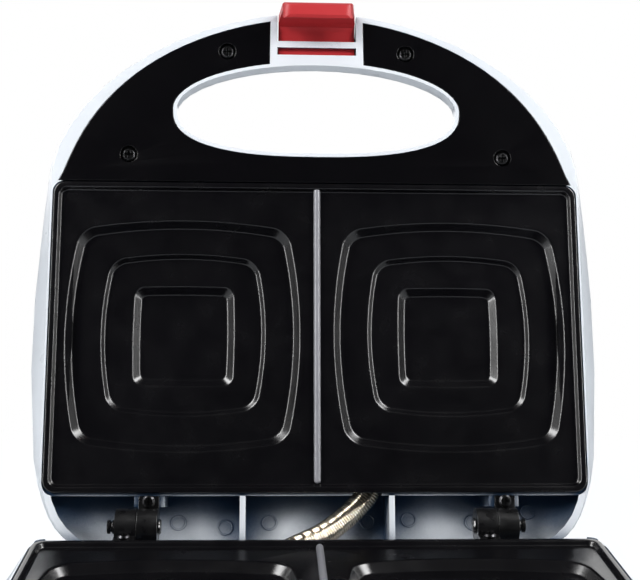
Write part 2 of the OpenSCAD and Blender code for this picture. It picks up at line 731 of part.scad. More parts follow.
module bottom_cover() {
    color(white) at_base() difference() {
        union() {
            translate([0, 0, base_h - 1.3]) linear_extrude(1.3) bottom_2d(-slip);
            translate([0, 0, base_h - wall]) linear_extrude(wall - 1) bottom_2d(-3 - slip);
        }
        for (p = BOTTOM_SCREWS) translate([p.x, p.y, base_h - wall - 1]) {
            cylinder(10, screw_r + 0.2, screw_r + 0.2, $fn = 24);
            translate([0, 0, wall - 0.85]) cylinder(9, 3.2, 3.2, $fn = 32);
        }
        for (i = [-4 : 4], y = [-14, 20]) translate([9 * i - 1.5, bottom_mid + y - 12, base_h - 6])
            cube([3, 24, 9]);
    }
}

module feet() {
    color(satin_black) at_base() for (p = FEET) translate([p.x, p.y, 0]) {
        translate([0, 0, base_h - 2.5]) cylinder(foot_h + 2.5, foot_r - 2, foot_r - 2, $fn = 48);
        translate([0, 0, base_h + 0.05]) cylinder(foot_h - 0.05, foot_r, foot_r - 1, $fn = 48);
    }
}

module bottom_screws() {
    color(steel) at_base() for (p = BOTTOM_SCREWS) translate([p.x, p.y, base_h - 1.85])
        mirror([0, 0, 1]) pan_screw(2.9, screw_r, 8);
}

module handle_cover() {
    difference() {
        translate([0, 0, half_gap]) linear_extrude(cover_t - 0.05) cover_2d(0);
        for (p = COVER_SCREWS) translate([p.x, p.y, half_gap]) {
            translate([0, 0, -1]) cylinder(2.9, cover_seat_r, cover_seat_r, $fn = 32);
            translate([0, 0, -1]) cylinder(9, screw_r + 0.2, screw_r + 0.2, $fn = 24);
        }
    }
}

module cover_screws() {
    for (p = COVER_SCREWS) translate([p.x, p.y, half_gap + 1.88]) pan_screw(2.8, screw_r, 8);
}

// Hinges

// Leaf from x0: a cast knuckle with a tangent pad that a screw holds
module hinge_leaf(x0) {
    difference() {
        along_x(x0, leaf_w) {
            circle(knuckle_r, $fn = 64);
            translate([0, pad_z]) square([bulkhead_y - 0.2, pad_t]);
        }
        translate([x0 - 1, 0, 0]) rotate([0, 90, 0])
            cylinder(leaf_w + 2, pin_r + pin_fit, pin_r + pin_fit, $fn = 48);
        translate([x0 + leaf_w / 2, hinge_screw_y, 0]) cylinder(9, screw_r + 0.2, screw_r + 0.2, $fn = 24);
        translate([x0 + leaf_w / 2, hinge_screw_y, pad_z - 9]) cylinder(9, 2.9, 2.9, $fn = 32);
    }
}

function leaf_x(side, lower) = side * hinge_x + (lower ? -leaf_w - side_gap / 2 : side_gap / 2);

module hinge_pin() {
    half = leaf_w + side_gap / 2;
    translate([-half - 3.3, 0, 0]) rotate([0, 90, 0]) {
        cylinder(1.2, pin_r + 0.35, pin_r + 0.35, $fn = 48);
        cylinder(3.3, pin_r - 0.3, pin_r - 0.3, $fn = 48);
        translate([0, 0, 2]) cylinder(1.1, pin_r + 0.35, pin_r + 0.35, $fn = 48);
        translate([0, 0, 3.1]) cylinder(2 * half + 0.6, pin_r, pin_r, $fn = 48);
        translate([0, 0, 2 * half + 3.6]) cylinder(0.9, pin_r + 0.8, pin_r + 0.2, $fn = 48);
    }
}

module hinge_pins() {
    color(satin_black) at_base() {
        translate([-hinge_x, 0, 0]) hinge_pin();
        translate([hinge_x, 0, 0]) mirror([1, 0, 0]) hinge_pin();
    }
}

module hinge_screws(lower) {
    for (side = [-1, 1]) translate([side * hinge_x + post_x(lower), hinge_screw_y, pad_z - 0.02])
        pan_screw(2.5, screw_r, 7);
}

// Steel sheath of the lid's wires

// Route from the base to the lid, from the hinge axis, with y to the rear and z up
ROUTE = [
    [-52, -28.8, -14.3], [-43.3, -25.4, -14.1], [-32, -19.4, -12.8], [-20, -11.8, -10], [-9, -3.8, -7.5],
    [1.8, 3.9, -5.2], [11.2, 9.9, -0.4], [18.2, 14.1, 6.4], [22.6, 17.1, 13.4], [25.2, 19.8, 20.8]
];
ROUTE_STEPS = 12;

function spline(a, b, c, d, t) =
    0.5 * (2 * b + (c - a) * t + (2 * a - 5 * b + 4 * c - d) * t * t + (3 * b - a - 3 * c + d) * t * t * t);

last_leg = len(ROUTE) - 2;
fine_route = [
    for (i = [0 : last_leg], j = [0 : ROUTE_STEPS - (i == last_leg ? 0 : 1)])
        spline(i == 0 ? 2 * ROUTE[0] - ROUTE[1] : ROUTE[i - 1], ROUTE[i], ROUTE[i + 1],
            i == last_leg ? 2 * ROUTE[i + 1] - ROUTE[i] : ROUTE[i + 2], j / ROUTE_STEPS)
];
run = [
    for (i = 0, s = 0; i < len(fine_route);
        i = i + 1, s = i < len(fine_route) ? s + norm(fine_route[i] - fine_route[i - 1]) : s) s
];
route_x = [for (i = [0 : len(run) - 1]) [run[i], fine_route[i].x]];
route_y = [for (i = [0 : len(run) - 1]) [run[i], fine_route[i].y]];
route_z = [for (i = [0 : len(run) - 1]) [run[i], fine_route[i].z]];
route_l = run[len(run) - 1];

function route_at(s) = [lookup(s, route_x), lookup(s, route_y), lookup(s, route_z)];
function unit(v) = v / norm(v);

// Axes across the route at s; the guide is never along the route
function route_axes(s) =
    let (t = unit(route_at(min(route_l, s + 0.6)) - route_at(max(0, s - 0.6))),
        guide = [0, 0.94, -0.34],
        n = unit(guide - (guide * t) * t))
    [n, cross(t, n), t];

RINGS_A_CURL = 8;
curls = floor((route_l - 0.5) / sheath_pitch);
winding_r = (sheath_d - sheath_wire) / 2;

function curl_point(i) =
    let (s = 0.4 + i * sheath_pitch / RINGS_A_CURL, a = 360 * i / RINGS_A_CURL, f = route_axes(s))
    route_at(s) + winding_r * (cos(a) * f[0] + sin(a) * f[1]);

function curl_ring(i) =
    let (s = 0.4 + i * sheath_pitch / RINGS_A_CURL, a = 360 * i / RINGS_A_CURL, f = route_axes(s),
        out = cos(a) * f[0] + sin(a) * f[1], c = route_at(s) + winding_r * out)
    [for (k = [0 : 5]) c + sheath_wire / 2 * (cos(60 * k) * out + sin(60 * k) * f[2])];

curl_points = [for (i = [0 : curls * RINGS_A_CURL]) curl_point(i)];
least_gap = min([
    for (i = [0 : len(curl_points) - 1], j = [i + 5 : i + 11])
        if (j < len(curl_points)) norm(curl_points[j] - curl_points[i])
]) - sheath_wire;

module wire_sheath() {
    echo(curls = curls, sheath_length = route_l, least_gap_to_itself = least_gap);
    rings = len(curl_points);
    points = [for (i = [0 : rings - 1]) each curl_ring(i)];
    faces = concat(
        [[for (k = [0 : 5]) k]],
        [for (i = [0 : rings - 2], k = [0 : 5])
            let (a = 6 * i + k, b = 6 * i + (k + 1) % 6)
            each [[a, a + 6, b], [b, a + 6, b + 6]]],
        [[for (k = [5 : -1 : 0]) 6 * (rings - 1) + k]]
    );
    color(nickel) translate([0, hinge_y, parting_z]) polyhedron(points, faces, convexity = 20);
}

// Clips that hold the ends of the sheath: a ring with an arm to the bulkhead
module clip_ring() {
    r = sheath_d / 2 + 0.12;
    difference() {
        cylinder(4, r + 1.4, r + 1.4, $fn = 48);
        translate([0, 0, -1]) cylinder(6, r, r, $fn = 48);
    }
}

module sheath_clip_base() {
    end = ROUTE[0];
    r = sheath_d / 2 + 0.12;
    turn = atan2(ROUTE[1].y - end.y, ROUTE[1].x - end.x);
    reach = -end.y - bulkhead_y - bulkhead_t - 0.05;
    color(steel) translate([end.x, hinge_y + end.y, parting_z + end.z]) {
        rotate([0, 0, turn]) rotate([0, 90, 0]) clip_ring();
        translate([-1.5, r + 0.9, -2]) cube([3, reach - r - 0.9, 4]);
        translate([-3.5, reach - 1.2, -4.5]) cube([7, 1.2, 9]);
    }
}

// End of the sheath in the lid's own coordinates
function to_lid(p) = [
    p.x,
    p.z * sin(lid_stop) - p.y * cos(lid_stop),
    p.y * sin(lid_stop) + p.z * cos(lid_stop)
];

module sheath_clip_lid() {
    end = to_lid(ROUTE[last_leg + 1]);
    leg = end - to_lid(ROUTE[last_leg]);
    r = sheath_d / 2 + 0.12;
    foot = bulkhead_y + bulkhead_t + 0.05 - end.y;
    color(steel) at_lid() translate(end) {
        rotate([0, 0, -atan2(leg.x, leg.y)]) rotate([90, 0, 0]) clip_ring();
        translate([-2, -3, r + 0.4]) cube([4, 2, 2.6]);
        translate([-2, foot, r + 1.4]) cube([4, -foot - 1, 1.6]);
        translate([-2, foot, r + 1.4]) cube([4, 1.6, 5]);
    }
}

// Small electrical parts

module thermostat() {
    under = sensor_z + 0.05;
    color(steel) at_base() {
        translate([0, plate_mid, under]) cylinder(2, 9, 9, $fn = 48);
        translate([0, plate_mid, under + 2]) cylinder(7, 7.5, 7.5, $fn = 48);
        translate([-11, plate_mid - 3, under + 5]) cube([22, 6, 0.8]);
        translate([0, plate_mid, under + 9]) cylinder(2, 2.5, 2.5, $fn = 32);
    }
}

module thermal_fuse() {
    under = field_z + plate_t + 0.05;
    color(steel) at_base() translate([0, plate_mid + 12.5, under]) {
        translate([-2.4, 0, 0]) cube([4.8, 7, 1.2]);
        translate([0, 0, 3.1]) rotate([-90, 0, 0]) cylinder(7, 2, 2, $fn = 32);
        translate([0, -1.8, 3.1]) rotate([-90, 0, 0]) cylinder(11.4, 0.6, 0.6, $fn = 24);
    }
}

module terminal_block() {
    color("ivory") at_base() difference() {
        translate([-15, block_y, base_h - wall - 12.05]) cube([30, 14, 12]);
        for (i = [-1 : 1]) translate([10 * i, block_y + 7, base_h - wall - 13])
            cylinder(8, 2.2, 2.2, $fn = 32);
        for (i = [-1 : 1]) translate([10 * i, block_y - 1, base_h - wall - 5]) rotate([-90, 0, 0])
            cylinder(16, 1.8, 1.8, $fn = 32);
    }
}

module cord_gland() {
    color(satin_black) at_base() translate([gland_x, 0, gland_z]) rotate([-90, 0, 0]) difference() {
        union() {
            translate([0, 0, -gland_pad - 2.2]) cylinder(2.2, gland_neck_r + 1, gland_neck_r + 2, $fn = 48);
            translate([0, 0, -shell_rear - 1]) cylinder(9, gland_neck_r, gland_neck_r, $fn = 48);
            translate([0, 0, wall - shell_rear + 2])
                cylinder(2, gland_neck_r + 1.5, gland_neck_r + 1.5, $fn = 48);
        }
        translate([0, 0, -shell_rear - 5]) cylinder(20, gland_bore_r, gland_bore_r, $fn = 48);
    }
}

module lamp_lens(x) {
    at_lid() translate([x, lamp_y, lid_h - 5]) {
        cylinder(5, lamp_r, lamp_r, $fn = 48);
        translate([0, 0, 5]) cylinder(0.8, lamp_r, lamp_r - 0.8, $fn = 48);
        translate([0, 0, -0.2]) cylinder(2.4, lamp_r + 1.2, lamp_r + 1.2, $fn = 48);
    }
}

module lamp_bulbs() {
    color("orange") at_lid() for (x = LAMPS) translate([x, lamp_y, lid_h - 12])
        cylinder(6.7, 2.2, 2.2, $fn = 32);
}

// Latch

module clip_profile() {
    inner = clip_y;
    outer = clip_y + clip_t;
    foot = bar_back() - slot_d + 0.4;
    polygon([
        [foot, foot_z], [foot, foot_z + 2.4], [pivot_y - 2.6, pivot_z + 1.4],
        [pivot_y - 1, pivot_z + clip_t], [inner, pivot_z + clip_t], [outer - 0.8, pivot_z + 1.4],
        [outer, pivot_z - 0.6],
        [outer, 1.5 - clip_drop], [outer - 1.5, -clip_drop], [inner - hook_d + 1, -clip_drop],
        [inner - hook_d, 1 - clip_drop], [inner - hook_d, hook_t - 1 - clip_drop],
        [inner - hook_d + 1, hook_t - clip_drop], [inner - hook_fillet, hook_t - clip_drop],
        [inner, hook_t + hook_fillet - clip_drop], [inner, foot_z - 3], [inner - 1, foot_z - 1], [inner - 3, foot_z]
    ]);
}

// Front of the clip in (x, z): it narrows towards the hook and its corners there are round
module clip_front_2d(top) {
    r = 4;
    half = clip_w / 2;
    tip = half - clip_taper;
    corner = [for (i = [0 : 6]) let (t = 15 * i) [tip - r + r * cos(t), r - clip_drop - r * sin(t)]];
    right = concat([[half, top], [half, 0]], corner);
    polygon(concat(right, [for (i = [len(right) - 1 : -1 : 0]) [-right[i].x, right[i].y]]));
}

module latch_clip() {
    top = pivot_z + clip_t;
    color(red) at_lid() difference() {
        intersection() {
            union() {
                along_x(-clip_w / 2, clip_w) clip_profile();
                translate([-clip_w / 2, pivot_y, pivot_z]) rotate([0, 90, 0])
                    cylinder(clip_w, clip_t - 0.3, clip_t - 0.3, $fn = 48);
            }
            translate([0, arch_front + 9, 0]) rotate([90, 0, 0]) linear_extrude(40) clip_front_2d(top);
        }
        translate([-clip_w, pivot_y, pivot_z]) rotate([0, 90, 0])
            cylinder(2 * clip_w, latch_pin_r + pin_fit, latch_pin_r + pin_fit, $fn = 48);
    }
}

module latch_pin() {
    color(steel) at_lid() translate([-latch_pin_l / 2, pivot_y, pivot_z]) rotate([0, 90, 0])
        cylinder(latch_pin_l, latch_pin_r, latch_pin_r, $fn = 32);
}

// Torsion spring beside the clip, with one leg on the recess and one beside the clip's arm
module latch_spring() {
    x0 = clip_w / 2 + 0.3;
    color(steel) at_lid() translate([x0, pivot_y, pivot_z]) {
        rotate([0, 90, 0]) difference() {
            cylinder(spring_l, latch_pin_r + 0.9, latch_pin_r + 0.9, $fn = 32);
            translate([0, 0, -1]) cylinder(5, latch_pin_r + 0.1, latch_pin_r + 0.1, $fn = 32);
        }
        translate([0.6, 0, latch_pin_r + 0.5]) rotate([90, 0, 0])
            cylinder(pivot_y - bar_back() + slot_d - 0.1, 0.35, 0.35, $fn = 16);
        translate([0.6, 0, latch_pin_r + 0.5]) rotate([-90, 0, 0]) cylinder(6, 0.35, 0.35, $fn = 16);
    }
}

// Pieces

module base_plate() { color(satin_black) at_base() plate(); }
module lid_plate() { color(satin_black) at_lid() plate(); }
module base_heater() { color(steel) at_base() heating_rod(); }
module lid_heater() { color(steel) at_lid() heating_rod(); }
module base_reflector() { color(steel) at_base() reflector(); }
module lid_reflector() { color(steel) at_lid() reflector(); }
module base_reflector_screws() { color(steel) at_base() reflector_screws(); }
module lid_reflector_screws() { color(steel) at_lid() reflector_screws(); }
module base_handle_cover() { color(gloss_black) at_base() handle_cover(); }
module lid_handle_cover() { color(gloss_black) at_lid() handle_cover(); }
module base_cover_screws() { color(steel) at_base() cover_screws(); }
module lid_cover_screws() { color(steel) at_lid() cover_screws(); }
module base_hinge_left() { color(satin_black) at_base() hinge_leaf(leaf_x(-1, true)); }
module base_hinge_right() { color(satin_black) at_base() hinge_leaf(leaf_x(1, true)); }
module lid_hinge_left() { color(satin_black) at_lid() hinge_leaf(leaf_x(-1, false)); }
module lid_hinge_right() { color(satin_black) at_lid() hinge_leaf(leaf_x(1, false)); }
module base_hinge_screws() { color(steel) at_base() hinge_screws(true); }
module lid_hinge_screws() { color(steel) at_lid() hinge_screws(false); }
module power_lens() { color("red") lamp_lens(LAMPS[0]); }
module ready_lens() { color("green") lamp_lens(LAMPS[1]); }

base_housing();
bottom_cover();
feet();
bottom_screws();
base_handle_cover();
base_cover_screws();
base_plate();
base_heater();
base_reflector();
base_reflector_screws();
thermostat();
thermal_fuse();
terminal_block();
cord_gland();
base_hinge_left();
base_hinge_right();
hinge_pins();
base_hinge_screws();
wire_sheath();
sheath_clip_base();
sheath_clip_lid();
lid_housing();
lid_handle_cover();
lid_cover_screws();
lid_plate();
lid_heater();
lid_reflector();
lid_reflector_screws();
lid_hinge_left();
lid_hinge_right();
lid_hinge_screws();
power_lens();
ready_lens();
lamp_bulbs();
latch_clip();
latch_pin();
latch_spring();
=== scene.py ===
"""Looks of an open sandwich toaster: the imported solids, dressed and refined.

Sizes are in millimetres in the dataclasses and in metres in the meshes. Each half has
its own coordinates: x across, y forward from the hinge axis, z away from the parting
plane. Layout.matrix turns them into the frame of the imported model.
"""

import json
import logging
import math
from dataclasses import dataclass, field, replace
from enum import Enum
from typing import Callable, Sequence

import bmesh
import bpy
from mathutils import Matrix, Vector

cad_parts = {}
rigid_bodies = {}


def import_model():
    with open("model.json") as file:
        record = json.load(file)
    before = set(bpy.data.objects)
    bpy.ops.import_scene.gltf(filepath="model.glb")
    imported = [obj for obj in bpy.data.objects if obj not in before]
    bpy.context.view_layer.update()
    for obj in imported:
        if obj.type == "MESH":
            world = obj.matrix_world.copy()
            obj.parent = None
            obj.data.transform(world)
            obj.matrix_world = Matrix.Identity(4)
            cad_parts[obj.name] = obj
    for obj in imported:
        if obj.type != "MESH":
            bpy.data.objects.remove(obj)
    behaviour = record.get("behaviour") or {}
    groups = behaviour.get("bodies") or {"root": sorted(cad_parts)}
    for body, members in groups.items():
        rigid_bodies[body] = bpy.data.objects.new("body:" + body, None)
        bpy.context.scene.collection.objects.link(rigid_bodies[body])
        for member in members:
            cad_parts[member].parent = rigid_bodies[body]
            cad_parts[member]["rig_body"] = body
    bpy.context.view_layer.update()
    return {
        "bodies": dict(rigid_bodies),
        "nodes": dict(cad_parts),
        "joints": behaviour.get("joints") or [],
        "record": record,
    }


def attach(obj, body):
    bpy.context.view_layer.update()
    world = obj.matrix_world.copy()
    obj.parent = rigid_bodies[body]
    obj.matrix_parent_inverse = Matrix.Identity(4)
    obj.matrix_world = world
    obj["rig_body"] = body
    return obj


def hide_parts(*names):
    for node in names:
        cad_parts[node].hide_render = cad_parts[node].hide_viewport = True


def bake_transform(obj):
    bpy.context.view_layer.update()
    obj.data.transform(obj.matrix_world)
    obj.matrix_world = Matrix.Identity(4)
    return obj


LOG = logging.getLogger("toaster")
MM = 0.001
SIDE_SHARE = 0.32
Outline = Sequence[Vector]


class Half(Enum):
    """The two halves of the machine, named as their bodies are."""

    BASE = "base"
    LID = "lid"


@dataclass(frozen=True)
class Layout:
    """Place of the hinge axis and the angle at which the lid stands."""

    hinge_y: float = 66.82
    parting_z: float = 46.0
    lid_open: float = 109.0

    def matrix(self, half: Half) -> Matrix:
        """Transform from a half's own millimetres to the model's metres.

        Args:
            half: The half whose coordinates are turned.

        Returns:
            The matrix, with the scale to metres in it.
        """
        place = Matrix.Translation(Vector((0.0, self.hinge_y, self.parting_z)) * MM)
        if half is Half.BASE:
            turn = Matrix.Rotation(math.pi, 4, "X")
        else:
            turn = Matrix.Rotation(math.radians(-self.lid_open), 4, "X")
            turn = turn @ Matrix.Scale(-1.0, 4, Vector((0.0, 1.0, 0.0)))
        return place @ turn @ Matrix.Scale(MM, 4)


LAYOUT = Layout()


# Node trees


class Sketch:
    """A small helper that lays nodes into one material's tree."""

    def __init__(self, name: str) -> None:
        """Start a material with an empty surface shader.

        Args:
            name: The material's name.
        """
        self.material = bpy.data.materials.new(f"{name}_finish")
        self.material.use_nodes = True
        self.tree = self.material.node_tree
        self.shader = self.tree.nodes["Principled BSDF"]
        self.coords = self.tree.nodes.new("ShaderNodeTexCoord")

    def set(self, **sockets: object) -> "Sketch":
        """Set constants on the shader; underscores stand for spaces.

        Args:
            **sockets: Socket names with their values.

        Returns:
            This sketch.
        """
        for name, value in sockets.items():
            self.shader.inputs[name.replace("_", " ")].default_value = value
        return self

    def node(self, kind: str, **settings: object) -> bpy.types.Node:
        """Add a node and set its properties.

        Args:
            kind: The node's type.
            **settings: Properties with their values.

        Returns:
            The new node.
        """
        made = self.tree.nodes.new(kind)
        for name, value in settings.items():
            setattr(made, name, value)
        return made

    def link(self, start: bpy.types.NodeSocket, end: bpy.types.NodeSocket) -> None:
        """Join two sockets."""
        self.tree.links.new(start, end)

    def noise(
        self,
        scale: float,
        detail: float = 2.0,
        stretch: tuple[float, float, float] = (1.0, 1.0, 1.0),
    ) -> bpy.types.NodeSocket:
        """Noise over the object's own coordinates.

        Args:
            scale: Features in a metre.
            detail: Octaves of the noise.
            stretch: Scale along each axis.

        Returns:
            The socket of the noise value.
        """
        mapping = self.node("ShaderNodeMapping")
        mapping.inputs["Scale"].default_value = stretch
        self.link(self.coords.outputs["Object"], mapping.inputs["Vector"])
        made = self.node("ShaderNodeTexNoise")
        made.inputs["Scale"].default_value = scale
        made.inputs["Detail"].default_value = detail
        self.link(mapping.outputs["Vector"], made.inputs["Vector"])
        return made.outputs["Fac"]

    def between(
        self, value: bpy.types.NodeSocket, low: float, high: float
    ) -> bpy.types.NodeSocket:
        """Spread a value from 0.3 to 0.7 over a new range.

        Args:
            value: The socket that is spread.
            low: Result at the low end.
            high: Result at the high end.

        Returns:
            The socket of the result.
        """
        made = self.node("ShaderNodeMapRange")
        made.inputs["From Min"].default_value = 0.3
        made.inputs["From Max"].default_value = 0.7
        made.inputs["To Min"].default_value = low
        made.inputs["To Max"].default_value = high
        self.link(value, made.inputs["Value"])
        return made.outputs["Result"]

    def tint(
        self,
        value: bpy.types.NodeSocket,
        low: tuple[float, float, float],
        high: tuple[float, float, float],
    ) -> None:
        """Colour the surface from one tone to another.

        Args:
            value: The socket that chooses the tone.
            low: Colour where the value is low.
            high: Colour where the value is high.
        """
        ramp = self.node("ShaderNodeValToRGB")
        ramp.color_ramp.elements[0].position = 0.3
        ramp.color_ramp.elements[1].position = 0.7
        ramp.color_ramp.elements[0].color = (*low, 1.0)
        ramp.color_ramp.elements[1].color = (*high, 1.0)
        self.link(value, ramp.inputs["Fac"])
        self.link(ramp.outputs["Color"], self.shader.inputs["Base Color"])

    def rough(self, value: bpy.types.NodeSocket, low: float, high: float) -> None:
        """Vary the roughness from low to high with a value."""
        self.link(self.between(value, low, high), self.shader.inputs["Roughness"])

    def bumps(
        self, layers: Sequence[tuple[bpy.types.NodeSocket, float, float]]
    ) -> None:
        """Stack bump layers on the shader's normal.

        Args:
            layers: Height socket, strength and distance in metres of each layer.
        """
        last: bpy.types.NodeSocket | None = None
        for height, strength, distance in layers:
            made = self.node("ShaderNodeBump")
            made.inputs["Strength"].default_value = strength
            made.inputs["Distance"].default_value = distance
            self.link(height, made.inputs["Height"])
            if last is not None:
                self.link(last, made.inputs["Normal"])
            last = made.outputs["Normal"]
        if last is not None:
            self.link(last, self.shader.inputs["Normal"])


# Finishes


@dataclass(frozen=True)
class Finish:
    """Base of the finishes: a name and a colour in linear light."""

    name: str
    colour: tuple[float, float, float]

    def shade(self, factor: float) -> tuple[float, float, float]:
        """The colour made darker or lighter by a factor."""
        r, g, b = (min(1.0, c * factor) for c in self.colour)
        return (r, g, b)

    def build(self) -> bpy.types.Material:
        """Build the material, or give back the one that was built."""
        known = bpy.data.materials.get(f"{self.name}_finish")
        return known if known is not None else self.make()

    def make(self) -> bpy.types.Material:
        """Make the material anew."""
        raise NotImplementedError


@dataclass(frozen=True)
class MouldedPlastic(Finish):
    """Injection moulded plastic with a faint orange peel, and painted shade in its hollows where a
    shade colour is given.
    """

    roughness: float = 0.3
    peel: float = 0.12
    coat: float = 0.0
    specular: float = 0.5
    # Painted shade: a dark colour mixed in by ambient occlusion, its reach in millimetres, and the
    # occlusion range over which it fades out.
    painted_shade_colour: tuple[float, float, float] | None = None
    painted_shade_reach: float = 17.0
    painted_shade_fade: tuple[float, float] = (0.42, 0.92)

    def paint_shade(self, sketch: Sketch) -> None:
        """Paint shade into the colour: it falls off to the painted shade colour in hollows, where
        ambient occlusion finds them.

        Args:
            sketch: The material being made.
        """
        depth = sketch.node("ShaderNodeAmbientOcclusion", samples=8)
        depth.inputs["Distance"].default_value = self.painted_shade_reach * MM
        fade = sketch.node("ShaderNodeMapRange", interpolation_type="SMOOTHSTEP")
        fade.inputs["From Min"].default_value = self.painted_shade_fade[0]
        fade.inputs["From Max"].default_value = self.painted_shade_fade[1]
        sketch.link(depth.outputs["AO"], fade.inputs["Value"])
        mixed = sketch.node("ShaderNodeMix", data_type="RGBA")
        colour = sketch.shader.inputs["Base Color"]
        sketch.link(fade.outputs["Result"], mixed.inputs[0])
        mixed.inputs[6].default_value = (*self.painted_shade_colour, 1.0)
        sketch.link(colour.links[0].from_socket, mixed.inputs[7])
        sketch.link(mixed.outputs[2], colour)

    def make(self) -> bpy.types.Material:
        """Make the plastic: tone drift, painted shade in hollows where a shade colour is set, peel
        and fine grain.
        """
        sketch = Sketch(self.name).set(
            Coat_Weight=self.coat,
            Coat_Roughness=0.12,
            Specular_IOR_Level=self.specular,
        )
        drift = sketch.noise(14.0, 3.0)
        sketch.tint(drift, self.shade(0.97), self.shade(1.02))
        # Paint shade into the hollows where a shade colour is given.
        if self.painted_shade_colour is not None:
            self.paint_shade(sketch)
        sketch.rough(sketch.noise(60.0, 4.0), self.roughness * 0.9, self.roughness * 1.12)
        sketch.bumps(
            [
                (sketch.noise(260.0, 1.0), self.peel, 0.00012),
                (sketch.noise(2600.0, 2.0), self.peel, 0.00002),
            ]
        )
        return sketch.material


@dataclass(frozen=True)
class CoatedCast(Finish):
    """Cast aluminium under a sprayed non-stick coating."""

    roughness: float = 0.24

    def make(self) -> bpy.types.Material:
        """Make the coating: spray grain, a soft ripple and tone drift."""
        sketch = Sketch(self.name).set(Specular_IOR_Level=0.5)
        sketch.tint(sketch.noise(22.0, 4.0), self.shade(0.86), self.shade(1.15))
        sketch.rough(sketch.noise(90.0, 5.0), self.roughness * 0.9, self.roughness * 1.18)
        sketch.bumps(
            [
                (sketch.noise(120.0, 1.0), 0.1, 0.0002),
                (sketch.noise(2200.0, 3.0), 0.16, 0.00003),
            ]
        )
        return sketch.material


@dataclass(frozen=True)
class BareMetal(Finish):
    """Plain metal, drawn or rolled, with fine lines along one axis."""

    roughness: float = 0.28
    lines: tuple[float, float, float] = (1.0, 1.0, 1.0)
    line_strength: float = 0.15

    def make(self) -> bpy.types.Material:
        """Make the metal: fine lines, tone drift and small dents."""
        sketch = Sketch(self.name).set(Metallic=1.0)
        sketch.tint(sketch.noise(45.0, 3.0), self.shade(0.86), self.shade(1.08))
        sketch.rough(sketch.noise(160.0, 4.0), self.roughness * 0.8, self.roughness * 1.3)
        sketch.bumps([(sketch.noise(900.0, 3.0, self.lines), self.line_strength, 0.00003)])
        return sketch.material


@dataclass(frozen=True)
class PaintedCasting(Finish):
    """Small die casting under black paint."""

    roughness: float = 0.3

    def make(self) -> bpy.types.Material:
        """Make the paint with the casting's grain below it."""
        sketch = Sketch(self.name).set(Coat_Weight=0.3, Coat_Roughness=0.15)
        sketch.tint(sketch.noise(120.0, 3.0), self.shade(0.8), self.shade(1.25))
        sketch.rough(sketch.noise(300.0, 4.0), self.roughness * 0.8, self.roughness * 1.3)
        sketch.bumps(
            [
                (sketch.noise(700.0, 3.0), 0.3, 0.00008),
                (sketch.noise(2500.0, 2.0), 0.15, 0.00002),
            ]
        )
        return sketch.material


@dataclass(frozen=True)
class SoftRubber(Finish):
    """Moulded rubber, dull, with a dusty grain."""

    def make(self) -> bpy.types.Material:
        """Make the rubber."""
        sketch = Sketch(self.name).set(Specular_IOR_Level=0.35)
        sketch.tint(sketch.noise(200.0, 4.0), self.shade(0.85), self.shade(1.3))
        sketch.rough(sketch.noise(500.0, 3.0), 0.6, 0.82)
        sketch.bumps([(sketch.noise(1400.0, 3.0), 0.35, 0.00006)])
        return sketch.material


@dataclass(frozen=True)
class ClearLens(Finish):
    """Tinted clear plastic of a lamp's lens."""

    def make(self) -> bpy.types.Material:
        """Make the lens: clear, tinted, with faint ribs inside."""
        sketch = Sketch(self.name).set(
            Transmission_Weight=0.75, IOR=1.49, Coat_Weight=0.5, Coat_Roughness=0.05
        )
        sketch.tint(sketch.noise(300.0, 2.0), self.shade(0.9), self.shade(1.1))
        sketch.rough(sketch.noise(400.0, 2.0), 0.08, 0.16)
        sketch.bumps([(sketch.noise(900.0, 1.0, (1.0, 1.0, 0.1)), 0.1, 0.0001)])
        return sketch.material


# The white shell gets painted shade, a dark blue, in its hollows such as the lid's rear compartment.
WHITE = MouldedPlastic(
    "white_shell", (0.78, 0.81, 0.845), 0.3, 0.1, 0.15, painted_shade_colour=(0.022, 0.05, 0.1)
)
COVER = MouldedPlastic("black_cover", (0.002, 0.0018, 0.0025), 0.2, 0.12, 0.0, 0.4)
RED = MouldedPlastic("red_latch", (0.5, 0.03, 0.034), 0.45, 0.1, 0.0, 0.22)
IVORY = MouldedPlastic("ivory_block", (0.62, 0.56, 0.42), 0.5, 0.2)
COATING = CoatedCast("plate_coating", (0.0022, 0.002, 0.0029))
# Painted highlight: the dividing ridge is coloured light grey to stand in for the side light it
# catches.
RIDGE_HIGHLIGHT = CoatedCast("ridge_highlight", (0.26, 0.26, 0.28), 0.3)
SCREW = BareMetal("screw_steel", (0.42, 0.42, 0.43), 0.32)
DARK_SCREW = BareMetal("dark_screw", (0.04, 0.04, 0.042), 0.3)
SHEET = BareMetal("sheet_steel", (0.6, 0.6, 0.6), 0.3, (1.0, 12.0, 1.0))
ROD = BareMetal("rod_steel", (0.3, 0.29, 0.28), 0.45, (1.0, 1.0, 8.0))
SHEATH = BareMetal("sheath_steel", (0.74, 0.66, 0.53), 0.2)
HINGE = PaintedCasting("hinge_black", (0.0025, 0.0025, 0.003))
PIN = PaintedCasting("pin_black", (0.004, 0.004, 0.0045), 0.24)
RUBBER = SoftRubber("black_rubber", (0.018, 0.018, 0.019))
RED_LENS = ClearLens("red_lens", (0.75, 0.03, 0.02))
GREEN_LENS = ClearLens("green_lens", (0.05, 0.6, 0.15))
BULB = ClearLens("lamp_glass", (0.9, 0.55, 0.25))


# Meshes


